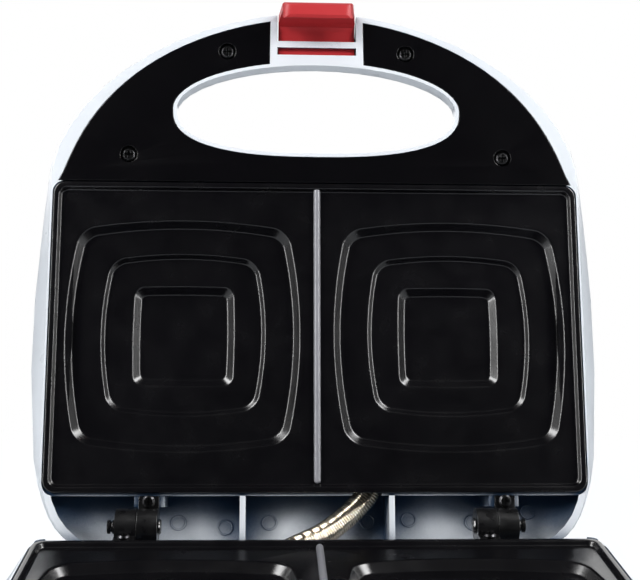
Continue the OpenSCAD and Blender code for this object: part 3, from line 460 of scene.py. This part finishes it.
def finished(
    name: str,
    bm: bmesh.types.BMesh,
    finish: Finish,
    place: Matrix | None = None,
    sharp: float = 40.0,
) -> bpy.types.Object:
    """Turn a bmesh into an object of the scene.

    Args:
        name: The object's name.
        bm: The mesh, which is freed.
        finish: The finish it gets.
        place: Transform into the model's frame, or None where it is there already.
        sharp: Angle in degrees past which an edge stays sharp.

    Returns:
        The object, at the origin with its place in its mesh.
    """
    if place is not None:
        bmesh.ops.transform(bm, matrix=place, verts=bm.verts)
        if place.determinant() < 0:
            bmesh.ops.reverse_faces(bm, faces=bm.faces)
    mesh = bpy.data.meshes.new(name)
    bm.to_mesh(mesh)
    bm.free()
    mesh.materials.append(finish.build())
    mesh.shade_smooth()
    mesh.set_sharp_from_angle(angle=math.radians(sharp))
    made = bpy.data.objects.new(name, mesh)
    bpy.context.scene.collection.objects.link(made)
    return made


def rounded(
    piece: bpy.types.Object, width: float, segments: int = 3, angle: float = 35.0
) -> bpy.types.Object:
    """Round a piece's edges with a bevel.

    Args:
        piece: The piece.
        width: Width of the bevel in millimetres.
        segments: Faces across the bevel.
        angle: Angle in degrees past which an edge is rounded.

    Returns:
        The piece.
    """
    bevel = piece.modifiers.new("edges", "BEVEL")
    bevel.width = width * MM
    bevel.segments = segments
    bevel.limit_method = "ANGLE"
    bevel.angle_limit = math.radians(angle)
    bevel.harden_normals = True
    bevel.use_clamp_overlap = True
    return piece


@dataclass(frozen=True)
class Drawn:
    """How far a cover's outer edge and its seat are drawn in, in millimetres."""

    half: Half
    reach: tuple[float, float] = (107.4, 73.0)
    start: float = 140.5
    power: float = 1.88
    depth: float = 3.9
    early: float = 0.62
    edge: tuple[float, float] = (0.97, 1.025)
    below: float = 3.5

    def apply(self, bm: bmesh.types.BMesh) -> None:
        """Draw the edge in.

        Args:
            bm: The mesh of a cover or of the shell round it, in the model's frame.
        """
        place = LAYOUT.matrix(self.half)
        back = place.inverted()
        for vert in bm.verts:
            spot = back @ vert.co
            ahead = max(spot.y - self.start, 0.0) / self.reach[1]
            edge = (abs(spot.x) / self.reach[0]) ** self.power + ahead**self.power
            if not self.edge[0] < edge < self.edge[1] or spot.z > self.below:
                continue
            inward = self.depth * math.sin(math.pi * min(ahead, 1.0) ** self.early)
            spot.x -= math.copysign(inward, spot.x)
            vert.co = place @ spot


def refined(
    frame: dict,
    node: str,
    finish: Finish,
    width: float,
    segments: int = 3,
    drawn: Drawn | None = None,
) -> bpy.types.Object:
    """Stand-in for a CAD node: its own shape, merged, with rounded edges.

    Args:
        node: The node's name.
        finish: The finish it gets.
        width: Width of the rounding in millimetres.
        segments: Faces across the rounding.
        drawn: How its outer edge is drawn in, or None.

    Returns:
        The piece, riding on the node's body.
    """
    bm = bmesh.new()
    bm.from_mesh(frame["nodes"][node].data)
    bmesh.ops.remove_doubles(bm, verts=bm.verts, dist=0.000002)
    if drawn is not None:
        drawn.apply(bm)
    bmesh.ops.dissolve_limit(
        bm, angle_limit=math.radians(0.4), verts=bm.verts, edges=bm.edges
    )
    piece = finished(node + "_fine", bm, finish)
    if width > 0.0:
        rounded(piece, width, segments)
    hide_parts(node)
    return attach(piece, frame["nodes"][node]["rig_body"])


class RingSurface:
    """A surface that grows ring by ring from a closed outline."""

    def __init__(self, outline: Outline) -> None:
        """Start with one ring.

        Args:
            outline: The points of the first ring, in order.
        """
        self.bm = bmesh.new()
        made = bmesh.ops.create_circle(self.bm, segments=len(outline), radius=1.0)
        self.ring: list[bmesh.types.BMVert] = list(made["verts"])
        self.rings: list[list[bmesh.types.BMVert]] = [self.ring]
        self._place(outline)

    def _place(self, outline: Outline) -> None:
        """Move the open ring onto an outline."""
        for vert, point in zip(self.ring, outline):
            vert.co = point

    def edges_of(self, ring: Sequence[bmesh.types.BMVert]) -> list[bmesh.types.BMEdge]:
        """The edges along a ring."""
        pairs = zip(ring, [*ring[1:], ring[0]])
        found = [self.bm.edges.get(pair) for pair in pairs]
        return [edge for edge in found if edge is not None]

    def grow(self, outline: Outline) -> "RingSurface":
        """Extrude the open ring onto the next outline.

        Args:
            outline: As many points as the first ring has.

        Returns:
            This surface.
        """
        made = bmesh.ops.extrude_edge_only(self.bm, edges=self.edges_of(self.ring))
        fresh = {v for v in made["geom"] if isinstance(v, bmesh.types.BMVert)}
        twins: list[bmesh.types.BMVert] = []
        for vert in self.ring:
            others = (edge.other_vert(vert) for edge in vert.link_edges)
            twins.append(next(other for other in others if other in fresh))
        self.ring = twins
        self.rings.append(twins)
        self._place(outline)
        return self

    def cap(self, ring: Sequence[bmesh.types.BMVert]) -> None:
        """Close a ring with one face."""
        bmesh.ops.edgeloop_fill(self.bm, edges=self.edges_of(ring))


def cushion(
    low: tuple[float, float],
    high: tuple[float, float],
    radius: float,
    count: int,
    swell: tuple[float, float] = (0.0, 0.0),
) -> list[tuple[float, float]]:
    """Outline of a rectangle with round corners and sides that may swell.

    Args:
        low: Lowest corner of the swollen outline.
        high: Highest corner of the swollen outline.
        radius: Radius of the corners.
        count: Number of points, a multiple of four.
        swell: How far the sides stand out, in x and in y.

    Returns:
        Points counter-clockwise from the middle of the high x side.
    """
    centre = ((low[0] + high[0]) / 2, (low[1] + high[1]) / 2)
    half = ((high[0] - low[0]) / 2 - swell[0], (high[1] - low[1]) / 2 - swell[1])
    quarter = count // 4
    points: list[tuple[float, float]] = []
    for corner in range(4):
        for step in range(quarter):
            share = step / quarter
            share = 1.0 - share if corner % 2 else share
            if share < SIDE_SHARE:
                x, y = half[0], (half[1] - radius) * share / SIDE_SHARE
            elif share <= 1.0 - SIDE_SHARE:
                turn = math.radians(90.0 * (share - SIDE_SHARE) / (1.0 - 2 * SIDE_SHARE))
                x = half[0] - radius + radius * math.cos(turn)
                y = half[1] - radius + radius * math.sin(turn)
            else:
                x, y = (half[0] - radius) * (1.0 - share) / SIDE_SHARE, half[1]
            out = (
                x * (1.0 + swell[0] / half[0] * (1.0 - (y / half[1]) ** 2)),
                y * (1.0 + swell[1] / half[1] * (1.0 - (x / half[0]) ** 2)),
            )
            sign_x = -1.0 if corner in (1, 2) else 1.0
            sign_y = -1.0 if corner in (2, 3) else 1.0
            points.append((centre[0] + sign_x * out[0], centre[1] + sign_y * out[1]))
    return points


# The grill plates


@dataclass(frozen=True)
class Step:
    """One outline of the pocket: half width, corner radius, swell of the sides and place."""

    half: float
    radius: float
    swell: float
    ahead: float = 0.0

    def grown(self, margin: float) -> "Step":
        """The same outline, grown by a margin."""
        return replace(self, half=self.half + margin, radius=self.radius + margin)


@dataclass
class GrillPlate:
    """A cast plate with two stepped pockets, one for each slice."""

    half: Half
    width: float = 218.0
    depth: float = 127.4
    rear: float = 13.1
    corner: float = 5.0
    rim: float = 2.4
    rim_slope: float = 0.7
    top: float = 0.4
    drop: float = 2.0
    flange: float = 2.6
    metal: float = 2.8
    under_edge: float = 9.0
    past_middle: float = 12.0
    pocket_depth: float = 95.0
    outer: tuple[Step, Step] = (Step(47.8, 6.0, 5.0), Step(45.3, 4.8, 5.0))
    middle: tuple[Step, Step] = (Step(33.6, 5.4, 3.5, 0.6), Step(32.2, 4.8, 3.5, 0.6))
    inner: tuple[Step, Step] = (Step(20.9, 3.9, 0.5), Step(18.0, 2.4, 0.5))
    outward: float = 0.35
    falls: tuple[float, float, float] = (3.5, 2.0, 3.0)
    ridge: float = 2.8
    ridge_ends: tuple[float, float] = (1.2, 0.5)
    softness: float = 0.6
    guide: float = 1.3
    points: int = 200

    def __post_init__(self) -> None:
        """Work out the levels of the steps."""
        self.front = self.rear + self.depth
        self.centre = (self.width / 4 + self.outward, self.rear + self.depth / 2)
        self.field_z = self.top + self.drop
        one = self.field_z + self.falls[0]
        two = one + self.falls[1]
        self.levels = (one, two, two + self.falls[2])

    def frame_ring(self, inset: float, radius: float, z: float) -> list[Vector]:
        """Ring along the plate's edge, which runs on past the middle line.

        Args:
            inset: Distance from the outer edge.
            radius: Radius of the corners.
            z: Height of the ring.

        Returns:
            The ring's points.
        """
        low = (-self.past_middle, self.rear + inset)
        high = (self.width / 2 - inset, self.front - inset)
        return [Vector((x, y, z)) for x, y in cushion(low, high, radius, self.points)]

    def step_ring(self, step: Step, z: float) -> list[Vector]:
        """Ring of a step in the pocket.

        Args:
            step: The outline.
            z: Height of the ring.

        Returns:
            The ring's points.
        """
        squat = self.pocket_depth / 2 / self.outer[0].half
        size = (step.half, step.half * squat)
        middle = (self.centre[0], self.centre[1] + step.ahead)
        low = (middle[0] - size[0], middle[1] - size[1])
        high = (middle[0] + size[0], middle[1] + size[1])
        flat = cushion(low, high, step.radius, self.points, (step.swell, 0.75 * step.swell))
        return [Vector((x, y, z)) for x, y in flat]

    def half_plate(self) -> bmesh.types.BMesh:
        """Grow one pocket from its floor outwards, round the rim and under the metal.

        Returns:
            The mesh, with a little more than one half of the plate.
        """
        one, two, three = self.levels
        under = self.top + self.flange
        back = self.field_z + self.metal
        surface = RingSurface(self.step_ring(self.inner[1].grown(-self.guide), three))
        surface.cap(surface.ring)
        round_rings: list[int] = []
        slopes = ((self.inner, three, two), (self.middle, two, one), (self.outer, one, self.field_z))
        for (upper, lower), floor, step_top in slopes:
            if floor < three:
                surface.grow(self.step_ring(lower.grown(-self.guide), floor))
            surface.grow(self.step_ring(lower, floor))
            surface.grow(self.step_ring(upper, step_top))
            round_rings += [len(surface.rings) - 2, len(surface.rings) - 1]
            surface.grow(self.step_ring(upper.grown(self.guide), step_top))
        first_frame = len(surface.rings)
        surface.grow(self.frame_ring(self.rim + self.rim_slope, 2.9, self.field_z))
        surface.grow(self.frame_ring(self.rim, 3.5, self.top))
        round_rings += range(first_frame, first_frame + 3)
        surface.grow(self.frame_ring(0.0, self.corner, self.top))
        surface.grow(self.frame_ring(0.0, self.corner, under))
        surface.grow(self.frame_ring(self.under_edge, self.corner, under))
        surface.grow(self.frame_ring(self.under_edge, self.corner, back))
        surface.grow(self.step_ring(self.outer[0], back))
        surface.grow(self.step_ring(self.outer[0], one + self.metal))
        for step, upper, lower in ((self.middle[0], one, two), (self.inner[0], two, three)):
            surface.grow(self.step_ring(step.grown(1.4), upper + self.metal))
            surface.grow(self.step_ring(step.grown(1.4), lower + self.metal))
        surface.cap(surface.ring)
        edges = [e for i in round_rings for e in surface.edges_of(surface.rings[i])]
        bmesh.ops.bevel(
            surface.bm,
            geom=edges,
            offset=self.softness,
            segments=4,
            profile=0.5,
            affect="EDGES",
            material=-1,
            clamp_overlap=False,
        )
        return surface.bm

    def ridge_bar(self, bm: bmesh.types.BMesh) -> None:
        """Set the dividing ridge, a bar with round ends and a crowned back, on the field.

        Args:
            bm: The mesh that takes it.
        """
        reach = self.ridge / 2
        low = self.rear + self.rim + self.ridge_ends[0] + reach
        high = self.front - self.rim + self.ridge_ends[1] - reach
        levels = [(reach, self.field_z + 0.5)]
        for step in range(8):
            turn = math.radians(11.0 * step)
            levels.append((reach * math.cos(turn), self.top + 0.15 + reach * (1 - math.sin(turn))))
        rings = [
            [Vector((x, y, z)) for x, y in cushion((-w, low - w), (w, high + w), w * 0.98, 48)]
            for w, z in levels
        ]
        bar = RingSurface(rings[0])
        for ring in rings[1:]:
            bar.grow(ring)
        bar.cap(bar.rings[0])
        bar.cap(bar.ring)
        mesh = bpy.data.meshes.new("ridge_bar")
        bar.bm.to_mesh(mesh)
        bar.bm.free()
        known = len(bm.faces)
        bm.from_mesh(mesh)
        bpy.data.meshes.remove(mesh)
        bm.faces.ensure_lookup_table()
        # The ridge's faces take the second material, its painted highlight.
        for face in bm.faces[known:]:
            face.material_index = 1

    def build(self) -> bpy.types.Object:
        """Build the plate: one half, its mirror image and the ridge between them.

        Returns:
            The piece, riding on its half's body.
        """
        bm = self.half_plate()
        bmesh.ops.bisect_plane(
            bm,
            geom=[*bm.verts, *bm.edges, *bm.faces],
            dist=0.0001,
            plane_co=(0.0, 0.0, 0.0),
            plane_no=(-1.0, 0.0, 0.0),
            clear_outer=True,
        )
        bmesh.ops.mirror(
            bm, geom=[*bm.verts, *bm.edges, *bm.faces], axis="X", merge_dist=0.003
        )
        bmesh.ops.remove_doubles(bm, verts=bm.verts, dist=0.003)
        self.ridge_bar(bm)
        bmesh.ops.recalc_face_normals(bm, faces=bm.faces)
        bmesh.ops.transform(bm, matrix=LAYOUT.matrix(self.half), verts=bm.verts)
        if self.half is Half.LID:
            bmesh.ops.reverse_faces(bm, faces=bm.faces)
        piece = finished(f"{self.half.value}_plate_fine", bm, COATING, None, 50.0)
        # The second material is the ridge's painted highlight.
        piece.data.materials.append(RIDGE_HIGHLIGHT.build())
        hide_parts(f"{self.half.value}_plate")
        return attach(piece, self.half.value)


# The steel sheath


@dataclass
class Sheath:
    """Closely wound steel sheath that takes the wires from the base to the lid."""

    diameter: float = 9.6
    end_diameter: float = 8.0
    crimp: float = 7.0
    wire: float = 1.0
    pitch: float = 1.12
    turns_sides: int = 20
    route: tuple[tuple[float, float, float], ...] = (
        (-52, -28.8, -14.3),
        (-43.3, -25.4, -14.1),
        (-32, -19.4, -12.8),
        (-20, -11.8, -10),
        (-9, -3.8, -7.5),
        (1.8, 3.9, -5.2),
        (11.2, 9.9, -0.4),
        (19.4, 14.1, 6.4),
        (23.8, 17.1, 13.4),
        (25.2, 19.8, 20.8),
    )

    def line(self) -> tuple[list[Vector], list[float]]:
        """The centre line and the run along it.

        Returns:
            Points in the model's millimetres, and the length up to each of them.
        """
        anchors = [Vector(p) for p in self.route]
        origin = Vector((0.0, LAYOUT.hinge_y, LAYOUT.parting_z))
        ends = [2 * anchors[0] - anchors[1], *anchors, 2 * anchors[-1] - anchors[-2]]
        points: list[Vector] = []
        for a, b, c, d in zip(ends, ends[1:], ends[2:], ends[3:]):
            for step in range(24):
                t = step / 24
                points.append(
                    origin
                    + 0.5
                    * (
                        2 * b
                        + (c - a) * t
                        + (2 * a - 5 * b + 4 * c - d) * t * t
                        + (3 * b - a - 3 * c + d) * t**3
                    )
                )
        points.append(origin + anchors[-1])
        lengths = [0.0]
        for a, b in zip(points, points[1:]):
            lengths.append(lengths[-1] + (b - a).length)
        return points, lengths

    def build(self) -> bpy.types.Object:
        """Wind the wire along the line.

        Returns:
            The piece, curving from the base to the lid; it rides on neither body.
        """
        points, lengths = self.line()
        total = lengths[-1]

        def at(run: float) -> Vector:
            """Point of the centre line at a run along it."""
            run = min(max(run, 0.0), total)
            low = next((i for i in range(len(lengths) - 1) if lengths[i + 1] >= run), 0)
            span = lengths[low + 1] - lengths[low]
            return points[low].lerp(points[low + 1], (run - lengths[low]) / span)

        steps = int((total - 0.8) / self.pitch * self.turns_sides)
        curve = bpy.data.curves.new("sheath_line", "CURVE")
        curve.dimensions = "3D"
        curve.bevel_depth = self.wire / 2 * MM
        curve.bevel_resolution = 1
        curve.use_fill_caps = True
        spline = curve.splines.new("POLY")
        spline.points.add(steps)
        reach = (self.diameter - self.wire) / 2
        crimped = (self.end_diameter - self.wire) / 2
        guide = Vector((0.0, 0.94, -0.34))
        for i in range(steps + 1):
            run = 0.4 + i * self.pitch / self.turns_sides
            along = (at(run + 0.5) - at(run - 0.5)).normalized()
            side = (guide - along * guide.dot(along)).normalized()
            turn = 2 * math.pi * i / self.turns_sides
            out = side * math.cos(turn) + along.cross(side) * math.sin(turn)
            full = min(1.0, min(run, total - run) / self.crimp)
            radius = crimped + (reach - crimped) * full * full * (3.0 - 2.0 * full)
            spline.points[i].co = (*((at(run) + radius * out) * MM), 1.0)
        holder = bpy.data.objects.new("sheath_holder", curve)
        bpy.context.scene.collection.objects.link(holder)
        mesh = bpy.data.meshes.new_from_object(
            holder.evaluated_get(bpy.context.evaluated_depsgraph_get())
        )
        bpy.data.objects.remove(holder)
        bm = bmesh.new()
        bm.from_mesh(mesh)
        bpy.data.meshes.remove(mesh)
        piece = finished("wire_sheath_fine", bm, SHEATH, None, 60.0)
        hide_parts("wire_sheath")
        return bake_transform(piece)


# Shells, covers and small pieces


@dataclass(frozen=True)
class EjectorMarks:
    """Round marks that the mould's pins left on the inner wall of the lid."""

    spots: tuple[tuple[float, float, float], ...] = (
        (-56.6, 1.1, 22.9),
        (-37.2, -0.9, 22.3),
        (-19.1, 1.0, 23.0),
        (21.7, 1.3, 23.1),
        (38.9, 2.1, 23.3),
        (65.6, 0.8, 22.5),
        (88.9, 5.2, 22.2),
    )
    facing: tuple[float, float, float] = (0.0, 0.33, -0.94)
    radius: float = 3.2
    rise: float = 0.45
    lip: float = 0.4

    def build(self) -> bpy.types.Object:
        """Set a shallow dished disc at each spot.

        Returns:
            The piece, riding on the lid.
        """
        bm = bmesh.new()
        turn = Vector(self.facing).to_track_quat("Z", "Y").to_matrix().to_4x4()
        inner = self.radius - self.lip
        profile = (
            (0.0, -0.8),
            (self.radius, -0.8),
            (self.radius, self.rise * 0.7),
            (self.radius - self.lip * 0.3, self.rise),
            (inner, self.rise),
            (inner - self.lip * 0.4, self.rise * 0.4),
            (0.0, self.rise * 0.4),
        )
        for spot in self.spots:
            place = Matrix.Translation(Vector(spot)) @ turn
            line = [bm.verts.new(place @ Vector((r, 0.0, z))) for r, z in profile]
            edges = [bm.edges.new(pair) for pair in zip(line, line[1:])]
            bmesh.ops.spin(
                bm,
                geom=[*line, *edges],
                cent=place @ Vector(),
                axis=place.to_3x3() @ Vector((0.0, 0.0, 1.0)),
                angle=math.tau,
                steps=32,
                use_merge=True,
            )
        bmesh.ops.remove_doubles(bm, verts=bm.verts, dist=0.01)
        bmesh.ops.recalc_face_normals(bm, faces=bm.faces)
        piece = finished("ejector_marks", bm, WHITE, LAYOUT.matrix(Half.LID), 30.0)
        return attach(piece, "lid")


@dataclass(frozen=True)
class Dress:
    """How one CAD node is dressed: its finish and the rounding of its edges."""

    node: str
    finish: Finish
    width: float
    segments: int = 3
    drawn: Drawn | None = None


@dataclass
class Fittings:
    """All the pieces whose shape stays as the solids give it."""

    dresses: tuple[Dress, ...] = (
        Dress("base_housing", WHITE, 0.5, 3, Drawn(Half.BASE)),
        Dress("lid_housing", WHITE, 0.5, 3, Drawn(Half.LID)),
        Dress("bottom_cover", WHITE, 0.3, 2),
        Dress("base_handle_cover", COVER, 0.5, 3, Drawn(Half.BASE)),
        Dress("lid_handle_cover", COVER, 0.5, 3, Drawn(Half.LID)),
        Dress("base_hinge_left", HINGE, 0.5),
        Dress("base_hinge_right", HINGE, 0.5),
        Dress("lid_hinge_left", HINGE, 0.5),
        Dress("lid_hinge_right", HINGE, 0.5),
        Dress("hinge_pins", PIN, 0.3, 2),
        Dress("latch_clip", RED, 0.8, 4),
        Dress("feet", RUBBER, 0.6),
        Dress("cord_gland", RUBBER, 0.3, 2),
        Dress("power_lens", RED_LENS, 0.3, 3),
        Dress("ready_lens", GREEN_LENS, 0.3, 3),
        Dress("base_cover_screws", DARK_SCREW, 0.15, 2),
        Dress("lid_cover_screws", DARK_SCREW, 0.15, 2),
        Dress("base_hinge_screws", DARK_SCREW, 0.15, 2),
        Dress("lid_hinge_screws", DARK_SCREW, 0.15, 2),
        Dress("bottom_screws", SCREW, 0.15, 2),
        Dress("terminal_block", IVORY, 0.3, 2),
        Dress("sheath_clip_base", SHEET, 0.2, 2),
        Dress("sheath_clip_lid", SHEET, 0.2, 2),
    )
    plain: tuple[tuple[str, Finish], ...] = (
        ("base_heater", ROD),
        ("lid_heater", ROD),
        ("base_reflector", SHEET),
        ("lid_reflector", SHEET),
        ("base_reflector_screws", SCREW),
        ("lid_reflector_screws", SCREW),
        ("thermostat", SHEET),
        ("thermal_fuse", SHEET),
        ("lamp_bulbs", BULB),
        ("latch_pin", SCREW),
        ("latch_spring", SCREW),
    )

    def build(self, frame: dict) -> None:
        """Dress every node.
        """
        for dress in self.dresses:
            piece = refined(
                frame, dress.node, dress.finish, dress.width, dress.segments, dress.drawn
            )
            LOG.info("%s: %d faces", piece.name, len(piece.data.polygons))
        for node, finish in self.plain:
            mesh = frame["nodes"][node].data
            mesh.materials.clear()
            mesh.materials.append(finish.build())


# Floor, light and camera


class Light(Enum):
    """What a lamp lights: everything, only the gloss or only the matt colour."""

    ALL = "all"
    GLOSS = "gloss"
    MATT = "matt"


GLOSS = Light.GLOSS
MATT = Light.MATT


@dataclass(frozen=True)
class SoftBox:
    """A soft lamp: place, size and aim in metres, power in watts and what it lights."""

    name: str
    place: tuple[float, float, float]
    size: tuple[float, float]
    power: float
    aim: tuple[float, float, float] = (0.0, 0.05, 0.1)
    lights: Light = Light.ALL


@dataclass
class Studio:
    """Pale floor, soft light and the camera of the photograph."""

    place: tuple[float, float, float] = (-21.6, -380.5, 208.0)
    yaw: float = 2.72
    pitch: float = 8.556
    roll: float = 0.761
    focal_pixels: float = 1179.0
    frame_pixels: float = 640.0
    floor_glow: float = 0.5
    floor_fade: tuple[float, float] = (0.2, 0.42)
    room_colour: tuple[float, float, float] = (0.72, 0.84, 1.0)
    room_strength: float = 0.16
    front_strength: float = 0.02
    backdrop_edge: tuple[float, float] = (0.6, 0.85)
    backdrop_strength: float = 2.5
    lamps: tuple[SoftBox, ...] = (
        SoftBox("left_strip", (-0.94, -0.35, 0.5), (0.14, 0.9), 12.0, (0.0, 0.1, 0.15), GLOSS),
        SoftBox("right_strip", (0.94, -0.35, 0.5), (0.14, 0.9), 11.0, (0.0, 0.1, 0.15), GLOSS),
        SoftBox("left_side", (-1.2, 0.15, 0.35), (0.7, 0.8), 1.6, (0.0, 0.1, 0.15), GLOSS),
        SoftBox("right_side", (1.2, 0.15, 0.35), (0.7, 0.8), 1.6, (0.0, 0.1, 0.15), GLOSS),
        SoftBox("left_edge", (-0.66, 0.02, 0.8), (0.5, 0.3), 10.0, (0.0, 0.0, 0.05), GLOSS),
        SoftBox("right_edge", (0.66, 0.02, 0.8), (0.5, 0.3), 10.0, (0.0, 0.0, 0.05), GLOSS),
        SoftBox("left_fill", (-0.8, -0.75, 0.9), (0.5, 0.5), 11.5, lights=MATT),
        SoftBox("right_fill", (0.8, -0.7, 0.8), (0.5, 0.5), 8.5, lights=MATT),
        SoftBox("top_fill", (0.0, 0.1, 1.3), (1.0, 0.8), 3.5, lights=MATT),
    )

    def camera(self) -> None:
        """Place the camera as the photograph's was fitted."""
        data = bpy.data.cameras.new("photo_camera")
        data.sensor_width = 36.0
        data.lens = self.focal_pixels / self.frame_pixels * 36.0
        data.clip_start = 0.01
        data.clip_end = 20.0
        made = bpy.data.objects.new("photo_camera", data)
        bpy.context.scene.collection.objects.link(made)
        yaw, pitch, roll = (math.radians(a) for a in (self.yaw, self.pitch, self.roll))
        ahead = Vector(
            (
                math.sin(yaw) * math.cos(pitch),
                math.cos(yaw) * math.cos(pitch),
                -math.sin(pitch),
            )
        )
        right = Vector((math.cos(yaw), -math.sin(yaw), 0.0))
        up = right.cross(ahead)
        across = right * math.cos(roll) + up * math.sin(roll)
        upward = up * math.cos(roll) - right * math.sin(roll)
        turn = Matrix((across, upward, -ahead)).transposed().to_4x4()
        made.matrix_world = Matrix.Translation(Vector(self.place) * MM) @ turn
        bpy.context.scene.camera = made

    def lamp(self, lamp: SoftBox) -> None:
        """Add a soft lamp that looks at its point.

        Args:
            lamp: Its place, size and power.
        """
        data = bpy.data.lights.new(lamp.name, "AREA")
        data.shape = "RECTANGLE"
        data.size, data.size_y = lamp.size
        data.energy = lamp.power
        made = bpy.data.objects.new(lamp.name, data)
        bpy.context.scene.collection.objects.link(made)
        made.visible_glossy = lamp.lights is not Light.MATT
        made.visible_diffuse = lamp.lights is not Light.GLOSS
        made.location = lamp.place
        ahead = Vector(lamp.aim) - Vector(lamp.place)
        made.rotation_euler = ahead.to_track_quat("-Z", "Y").to_euler()

    def floor(self) -> None:
        """Lay a large pale floor that keeps the shadow near the object and fades to white."""
        bm = bmesh.new()
        bmesh.ops.create_grid(bm, x_segments=1, y_segments=1, size=6.0)
        mesh = bpy.data.meshes.new("floor")
        bm.to_mesh(mesh)
        bm.free()
        floor = bpy.data.objects.new("floor", mesh)
        bpy.context.scene.collection.objects.link(floor)
        sketch = Sketch("pale_floor").set(Base_Color=(0.8, 0.82, 0.84, 1.0), Roughness=0.7)
        glow = sketch.node("ShaderNodeEmission")
        glow.inputs["Strength"].default_value = self.floor_glow
        lit = sketch.node("ShaderNodeAddShader")
        white = sketch.node("ShaderNodeEmission")
        white.inputs["Strength"].default_value = 1.0
        away = sketch.node("ShaderNodeVectorMath", operation="LENGTH")
        sketch.link(sketch.coords.outputs["Object"], away.inputs[0])
        fade = sketch.node("ShaderNodeMapRange", interpolation_type="SMOOTHSTEP")
        fade.inputs["From Min"].default_value = self.floor_fade[0]
        fade.inputs["From Max"].default_value = self.floor_fade[1]
        sketch.link(away.outputs["Value"], fade.inputs["Value"])
        faded = sketch.node("ShaderNodeMixShader")
        sketch.link(fade.outputs["Result"], faded.inputs["Fac"])
        sketch.link(sketch.shader.outputs["BSDF"], lit.inputs[0])
        sketch.link(glow.outputs["Emission"], lit.inputs[1])
        sketch.link(lit.outputs["Shader"], faded.inputs[1])
        sketch.link(white.outputs["Emission"], faded.inputs[2])
        path = sketch.node("ShaderNodeLightPath")
        mix = sketch.node("ShaderNodeMixShader")
        sketch.link(path.outputs["Is Camera Ray"], mix.inputs["Fac"])
        sketch.link(sketch.shader.outputs["BSDF"], mix.inputs[1])
        sketch.link(faded.outputs["Shader"], mix.inputs[2])
        sketch.link(mix.outputs["Shader"], sketch.tree.nodes["Material Output"].inputs["Surface"])
        mesh.materials.append(sketch.material)

    def world(self) -> None:
        """Light the room softly, white behind the object and dim in front of it."""
        world = bpy.data.worlds.new("room")
        bpy.context.scene.world = world
        world.use_nodes = True
        nodes, links = world.node_tree.nodes, world.node_tree.links
        soft = nodes["Background"]
        soft.inputs["Color"].default_value = (*self.room_colour, 1.0)
        soft.inputs["Strength"].default_value = self.room_strength
        coords = nodes.new("ShaderNodeTexCoord")
        split = nodes.new("ShaderNodeSeparateXYZ")
        ramp = nodes.new("ShaderNodeMapRange")
        ramp.interpolation_type = "SMOOTHSTEP"
        ramp.inputs["From Min"].default_value = self.backdrop_edge[0]
        ramp.inputs["From Max"].default_value = self.backdrop_edge[1]
        ramp.inputs["To Min"].default_value = self.front_strength
        ramp.inputs["To Max"].default_value = self.backdrop_strength
        links.new(coords.outputs["Generated"], split.inputs["Vector"])
        links.new(split.outputs["Y"], ramp.inputs["Value"])
        backdrop = nodes.new("ShaderNodeBackground")
        links.new(ramp.outputs["Result"], backdrop.inputs["Strength"])
        white = nodes.new("ShaderNodeBackground")
        path = nodes.new("ShaderNodeLightPath")
        gloss = nodes.new("ShaderNodeMath")
        gloss.operation = "MAXIMUM"
        links.new(path.outputs["Is Glossy Ray"], gloss.inputs[0])
        links.new(path.outputs["Is Transmission Ray"], gloss.inputs[1])
        mirrored = nodes.new("ShaderNodeMixShader")
        links.new(gloss.outputs["Value"], mirrored.inputs["Fac"])
        links.new(soft.outputs["Background"], mirrored.inputs[1])
        links.new(backdrop.outputs["Background"], mirrored.inputs[2])
        mix = nodes.new("ShaderNodeMixShader")
        links.new(path.outputs["Is Camera Ray"], mix.inputs["Fac"])
        links.new(mirrored.outputs["Shader"], mix.inputs[1])
        links.new(white.outputs["Background"], mix.inputs[2])
        white.inputs["Color"].default_value = (1.0, 1.0, 1.0, 1.0)
        white.inputs["Strength"].default_value = 1.0
        links.new(mix.outputs["Shader"], nodes["World Output"].inputs["Surface"])

    def build(self) -> None:
        """Set up the whole studio."""
        scene = bpy.context.scene
        scene.view_settings.view_transform = "Standard"
        self.camera()
        self.floor()
        self.world()
        for lamp in self.lamps:
            self.lamp(lamp)


@dataclass
class Toaster:
    """The whole machine, piece by piece."""

    plates: list[GrillPlate] = field(
        default_factory=lambda: [GrillPlate(Half.BASE), GrillPlate(Half.LID)]
    )
    sheath: Sheath = field(default_factory=Sheath)
    marks: EjectorMarks = field(default_factory=EjectorMarks)
    fittings: Fittings = field(default_factory=Fittings)

    def build(self, frame: dict) -> None:
        """Build and dress every piece.
        """
        for plate in self.plates:
            piece = plate.build()
            LOG.info("%s: %d faces", piece.name, len(piece.data.polygons))
        self.marks.build()
        piece = self.sheath.build()
        LOG.info("%s: %d faces", piece.name, len(piece.data.polygons))
        self.fittings.build(frame)


def main() -> None:
    """Build the machine and its studio."""
    logging.basicConfig(level=logging.INFO, format="%(message)s")
    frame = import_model()
    Toaster().build(frame)
    Studio().build()


if __name__ == "__main__":
    main()
